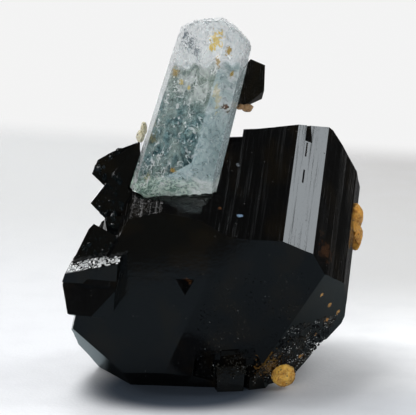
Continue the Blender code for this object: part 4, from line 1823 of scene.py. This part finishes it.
@dataclass(frozen=True)
class FloorFinish:
    """Pale cloth with painted light and shade on it, and the painted reflection that glossy faces mirror of
    it.

    Each ramp runs along or across the floor, over the millimetres given with it.
    """

    # Painted light and shade: the floor's colour is graded along and across it to set how bright it looks
    # under the lamps, with a painted shadow at the right front
    left: tuple[Colour, Colour, Colour] = ((0.78, 0.79, 0.81), (0.66, 0.67, 0.69), (0.52, 0.525, 0.525))
    right: tuple[Colour, Colour, Colour, Colour] = (
        (0.60, 0.62, 0.65), (0.78, 0.79, 0.80), (0.50, 0.50, 0.495), (0.43, 0.425, 0.42),
    )
    cloth: Colour = (0.50, 0.51, 0.53)
    shadow: Colour = (0.045, 0.065, 0.095)
    shadow_spot: tuple[Span, Span] = ((-5, -12), (18.5, 15.5))
    # The painted reflection that glossy faces see: a dim slate floor lit near the specimen, painted contact
    # shadow in the dark spots, the lit wall at the back left and painted shade at the back right
    slate: Colour = (0.085, 0.108, 0.125)
    dark: Colour = (0.030, 0.029, 0.022)
    lit_left: Colour = (0.28, 0.33, 0.35)
    lit_right: Colour = (0.15, 0.18, 0.19)
    dark_spot: Colour = (0.020, 0.023, 0.026)
    dark_spots: tuple[tuple[Span, Span], ...] = (
        ((-1, -26), (4.2, 7.5)), ((4.5, -24.5), (3.5, 2.2)), ((-6, -6), (17, 8)),
    )
    back_left: Colour = (0.75, 0.76, 0.78)
    back_right: Colour = (0.06, 0.06, 0.06)
    backdrop: Colour = (0.9, 0.9, 0.9)

    @staticmethod
    def from_spot(g: Graph, middle: Span, radii: Span) -> Socket:
        """Measure how far a place on the floor is from an oval spot.

        Args:
            g: The material's graph.
            middle: The spot's middle.
            radii: Its radii.

        Returns:
            The distance, where 1 is the spot's rim.
        """
        away = g.vector("SUBTRACT", g.place(), (*middle, 0))
        return g.measure("LENGTH", g.vector("MULTIPLY", away, (1 / radii[0], 1 / radii[1], 0)))

    def seen(self, g: Graph, x: object, y: object) -> Socket:
        """Mix the colours that are seen directly, with painted light and shade.

        Args:
            g: The material's graph.
            x: How far right the place is.
            y: How far back it is.

        Returns:
            The mixed colour.
        """
        near, middle, far = self.left
        left = g.mix(g.ramp(y, -30.0, 0.0), near, middle)
        left = g.mix(g.ramp(y, 0.0, 150.0), left, far)
        shade, near, middle, far = self.right
        right = g.mix(g.ramp(y, -25.0, -5.0), shade, near)
        right = g.mix(g.ramp(y, 10.0, 75.0), right, middle)
        right = g.mix(g.ramp(y, 75.0, 210.0), right, far)
        pale = g.mix(g.ramp(x, -40.0, 60.0), left, right)
        pale = g.lay(g.ramp(g.noise(g.place(), 9.0, 0.12), 0.42, 0.68), 0.14, pale, self.cloth)
        # Painted contact shadow in front of the specimen
        return g.lay(g.ramp(self.from_spot(g, *self.shadow_spot), 1.10, 0.60), 0.95, pale, self.shadow)

    def mirrored(self, g: Graph, x: object, y: object) -> Socket:
        """Mix the painted reflection that glossy faces mirror.

        Args:
            g: The material's graph.
            x: How far right the place is.
            y: How far back it is.

        Returns:
            The mixed colour.
        """
        lit = g.mix(g.ramp(x, -5.0, 15.0), self.lit_left, self.lit_right)
        far_left = g.ramp(g.plus(y, g.times(x, 0.867)), -110.5, -113.5)
        far_right = g.ramp(g.plus(y, g.times(x, 1.04)), -43.5, -48.5)
        far = g.add("Mix", {0: g.ramp(x, -9.0, 2.0), 2: far_left, 3: far_right}).outputs[0]
        dim = g.mix(far, self.slate, self.dark)
        dim = g.mix(g.ramp(g.plus(y, g.times(x, 0.3)), -30.0, 10.0), dim, lit)
        # Painted contact shadow in the reflection
        for middle, radii in self.dark_spots:
            dim = g.mix(g.ramp(self.from_spot(g, middle, radii), 1.12, 0.86), dim, self.dark_spot)
        far_back = g.mix(g.ramp(x, 10.0, 25.0), self.back_left, self.back_right)
        return g.mix(g.ramp(y, 25.0, 50.0), dim, far_back)

    def build(self) -> Material:
        """Build the material.

        Returns:
            The material.
        """
        material, g = new_material("pale floor")
        axes = g.add("SeparateXYZ", {0: g.place()})
        x, y = axes.outputs["X"], axes.outputs["Y"]
        path = g.add("LightPath")
        direct = g.minus(1.0, path.outputs["Is Transmission Ray"])
        colour = g.lay(path.outputs["Is Glossy Ray"], direct, self.seen(g, x, y), self.mirrored(g, x, y))
        weave = g.noise(g.place(), 4.0, 1.4)
        bump = g.add("Bump", {"Strength": 0.25, "Distance": 0.3 * MM, "Height": weave})
        matte = g.add("BsdfDiffuse", {"Color": colour, "Normal": bump.outputs[0]})
        glow = g.add("Emission", {"Color": (*self.backdrop, 1), "Strength": 1.0})
        edge = g.ramp(g.plus(y, g.times(x, 0.35)), 205.0, 240.0)
        edge = g.times(edge, path.outputs["Is Camera Ray"])
        shader = g.add("MixShader", {0: edge, 1: matte.outputs[0], 2: glow.outputs[0]})
        g.add("OutputMaterial", {0: shader.outputs[0]})
        return material


@dataclass(frozen=True)
class RoomFinish:
    """The light room round the specimen, which its dark faces mirror as a dim one."""

    wall: Colour = (0.85, 0.86, 0.87)
    dim: Colour = (0.028, 0.027, 0.025)
    lit_front: Colour = (0.08, 0.085, 0.10)
    lit_back: Colour = (0.92, 0.93, 0.93)
    through_front: Colour = (0.20, 0.22, 0.23)
    through_back: Colour = (1.0, 1.0, 1.0)
    backdrop: Colour = (0.9, 0.9, 0.9)

    def build(self) -> bpy.types.World:
        """Build the surroundings.

        Returns:
            The world.
        """
        world = bpy.data.worlds.new("studio")
        world.use_nodes = True
        g = Graph(world.node_tree)
        path = g.add("LightPath")
        axes = g.add("SeparateXYZ", {0: g.add("TexCoord").outputs["Generated"]})
        back, up = axes.outputs["Y"], axes.outputs["Z"]
        mirrored = g.lay(g.ramp(back, 0.70, 0.80), g.ramp(up, 0.55, 0.38), self.dim, self.wall)
        seen = g.mix(g.ramp(back, -0.10, 0.75), self.lit_front, self.lit_back)
        through = g.mix(g.ramp(back, -0.75, 0.25), self.through_front, self.through_back)
        seen = g.mix(path.outputs["Is Transmission Ray"], seen, through)
        seen = g.mix(path.outputs["Is Glossy Ray"], seen, mirrored)
        seen = g.mix(path.outputs["Is Camera Ray"], seen, self.backdrop)
        shader = g.add("Background", {"Color": seen, "Strength": 1.0})
        g.add("OutputWorld", {0: shader.outputs[0]})
        return world


@dataclass
class Studio:
    """The pale floor, the soft light and the camera."""

    eye_m: Point = (-0.0005, -0.41082, 0.11672)
    target_m: Point = (-0.0005, 0.0, 0.0294)
    lens: float = 207.7
    sensor: float = 36.0
    clip_m: Span = (0.01, 20.0)
    floor_back_m: float = 0.262
    floor_front_m: float = -3.0
    floor_half_m: float = 3.0
    boxes: tuple[Softbox, ...] = (
        Softbox("key left", (-0.50, 0.14, 0.44), (0, 0, 0.02), (0.25, 0.25), 0.8),
        Softbox("key behind", (-0.16, 0.48, 0.46), (0, 0, 0.02), (0.30, 0.20), 1.2),
        Softbox("key above", (-0.14, 0.12, 0.56), (0, 0, 0.02), (0.36, 0.30), 2.1),
        Softbox("fill front", (-0.15, -0.62, 0.17), (0, 0, 0.03), (0.40, 0.20), 2.3, reach=Reach.MATTE),
        Softbox("fill right", (0.40, 0.10, 0.30), (0.04, -0.02, 0), (0.24, 0.18), 0.8, reach=Reach.MATTE),
        Softbox("box right", (0.34, -0.06, 0.40), (0, 0, 0.03), (0.15, 0.13), 0.27, (0.88, 0.95, 1.0),
                Reach.MIRRORED),
    )

    def camera(self) -> None:
        """Set up the camera at the photograph's angle."""
        data = bpy.data.cameras.new("camera")
        data.lens = self.lens
        data.sensor_width = self.sensor
        data.clip_start, data.clip_end = self.clip_m
        made = enter("camera", data)
        aim(made, self.eye_m, self.target_m)
        bpy.context.scene.camera = made

    def floor(self) -> None:
        """Lay the pale floor."""
        mesh = bmesh.new()
        reach, front, back = self.floor_half_m, self.floor_front_m, self.floor_back_m
        corners = ((-reach, front), (reach, front), (reach, back), (-reach, back))
        mesh.faces.new([mesh.verts.new((x, y, 0)) for x, y in corners])
        data = bpy.data.meshes.new("floor")
        mesh.to_mesh(data)
        mesh.free()
        data.materials.append(FloorFinish().build())
        made = enter("floor", data)

    def build(self) -> None:
        """Set up the camera, floor, world and lights."""
        bpy.context.scene.view_settings.view_transform = "Standard"
        self.camera()
        self.floor()
        bpy.context.scene.world = RoomFinish().build()
        for box in self.boxes:
            box.build()
            LOG.info("%s", box.name)


def main() -> None:
    """Build the specimen and its studio."""
    logging.basicConfig(level=logging.INFO, format="%(message)s")
    effects = Effects()
    aquamarine = Aquamarine()
    tourmaline = BlackTourmaline()
    pieces = tourmaline.build(effects, aquamarine.solid(aquamarine.joint_gap))
    pieces += Crusts(tourmaline).build(effects)
    pieces += aquamarine.build(effects)
    pieces += SmallTourmaline().build(effects, aquamarine.solid(aquamarine.joint_gap))
    pieces += Feldspar().build(effects, aquamarine)
    Studio().build()
    LOG.info("%d pieces", len(pieces))


if __name__ == "__main__":
    main()
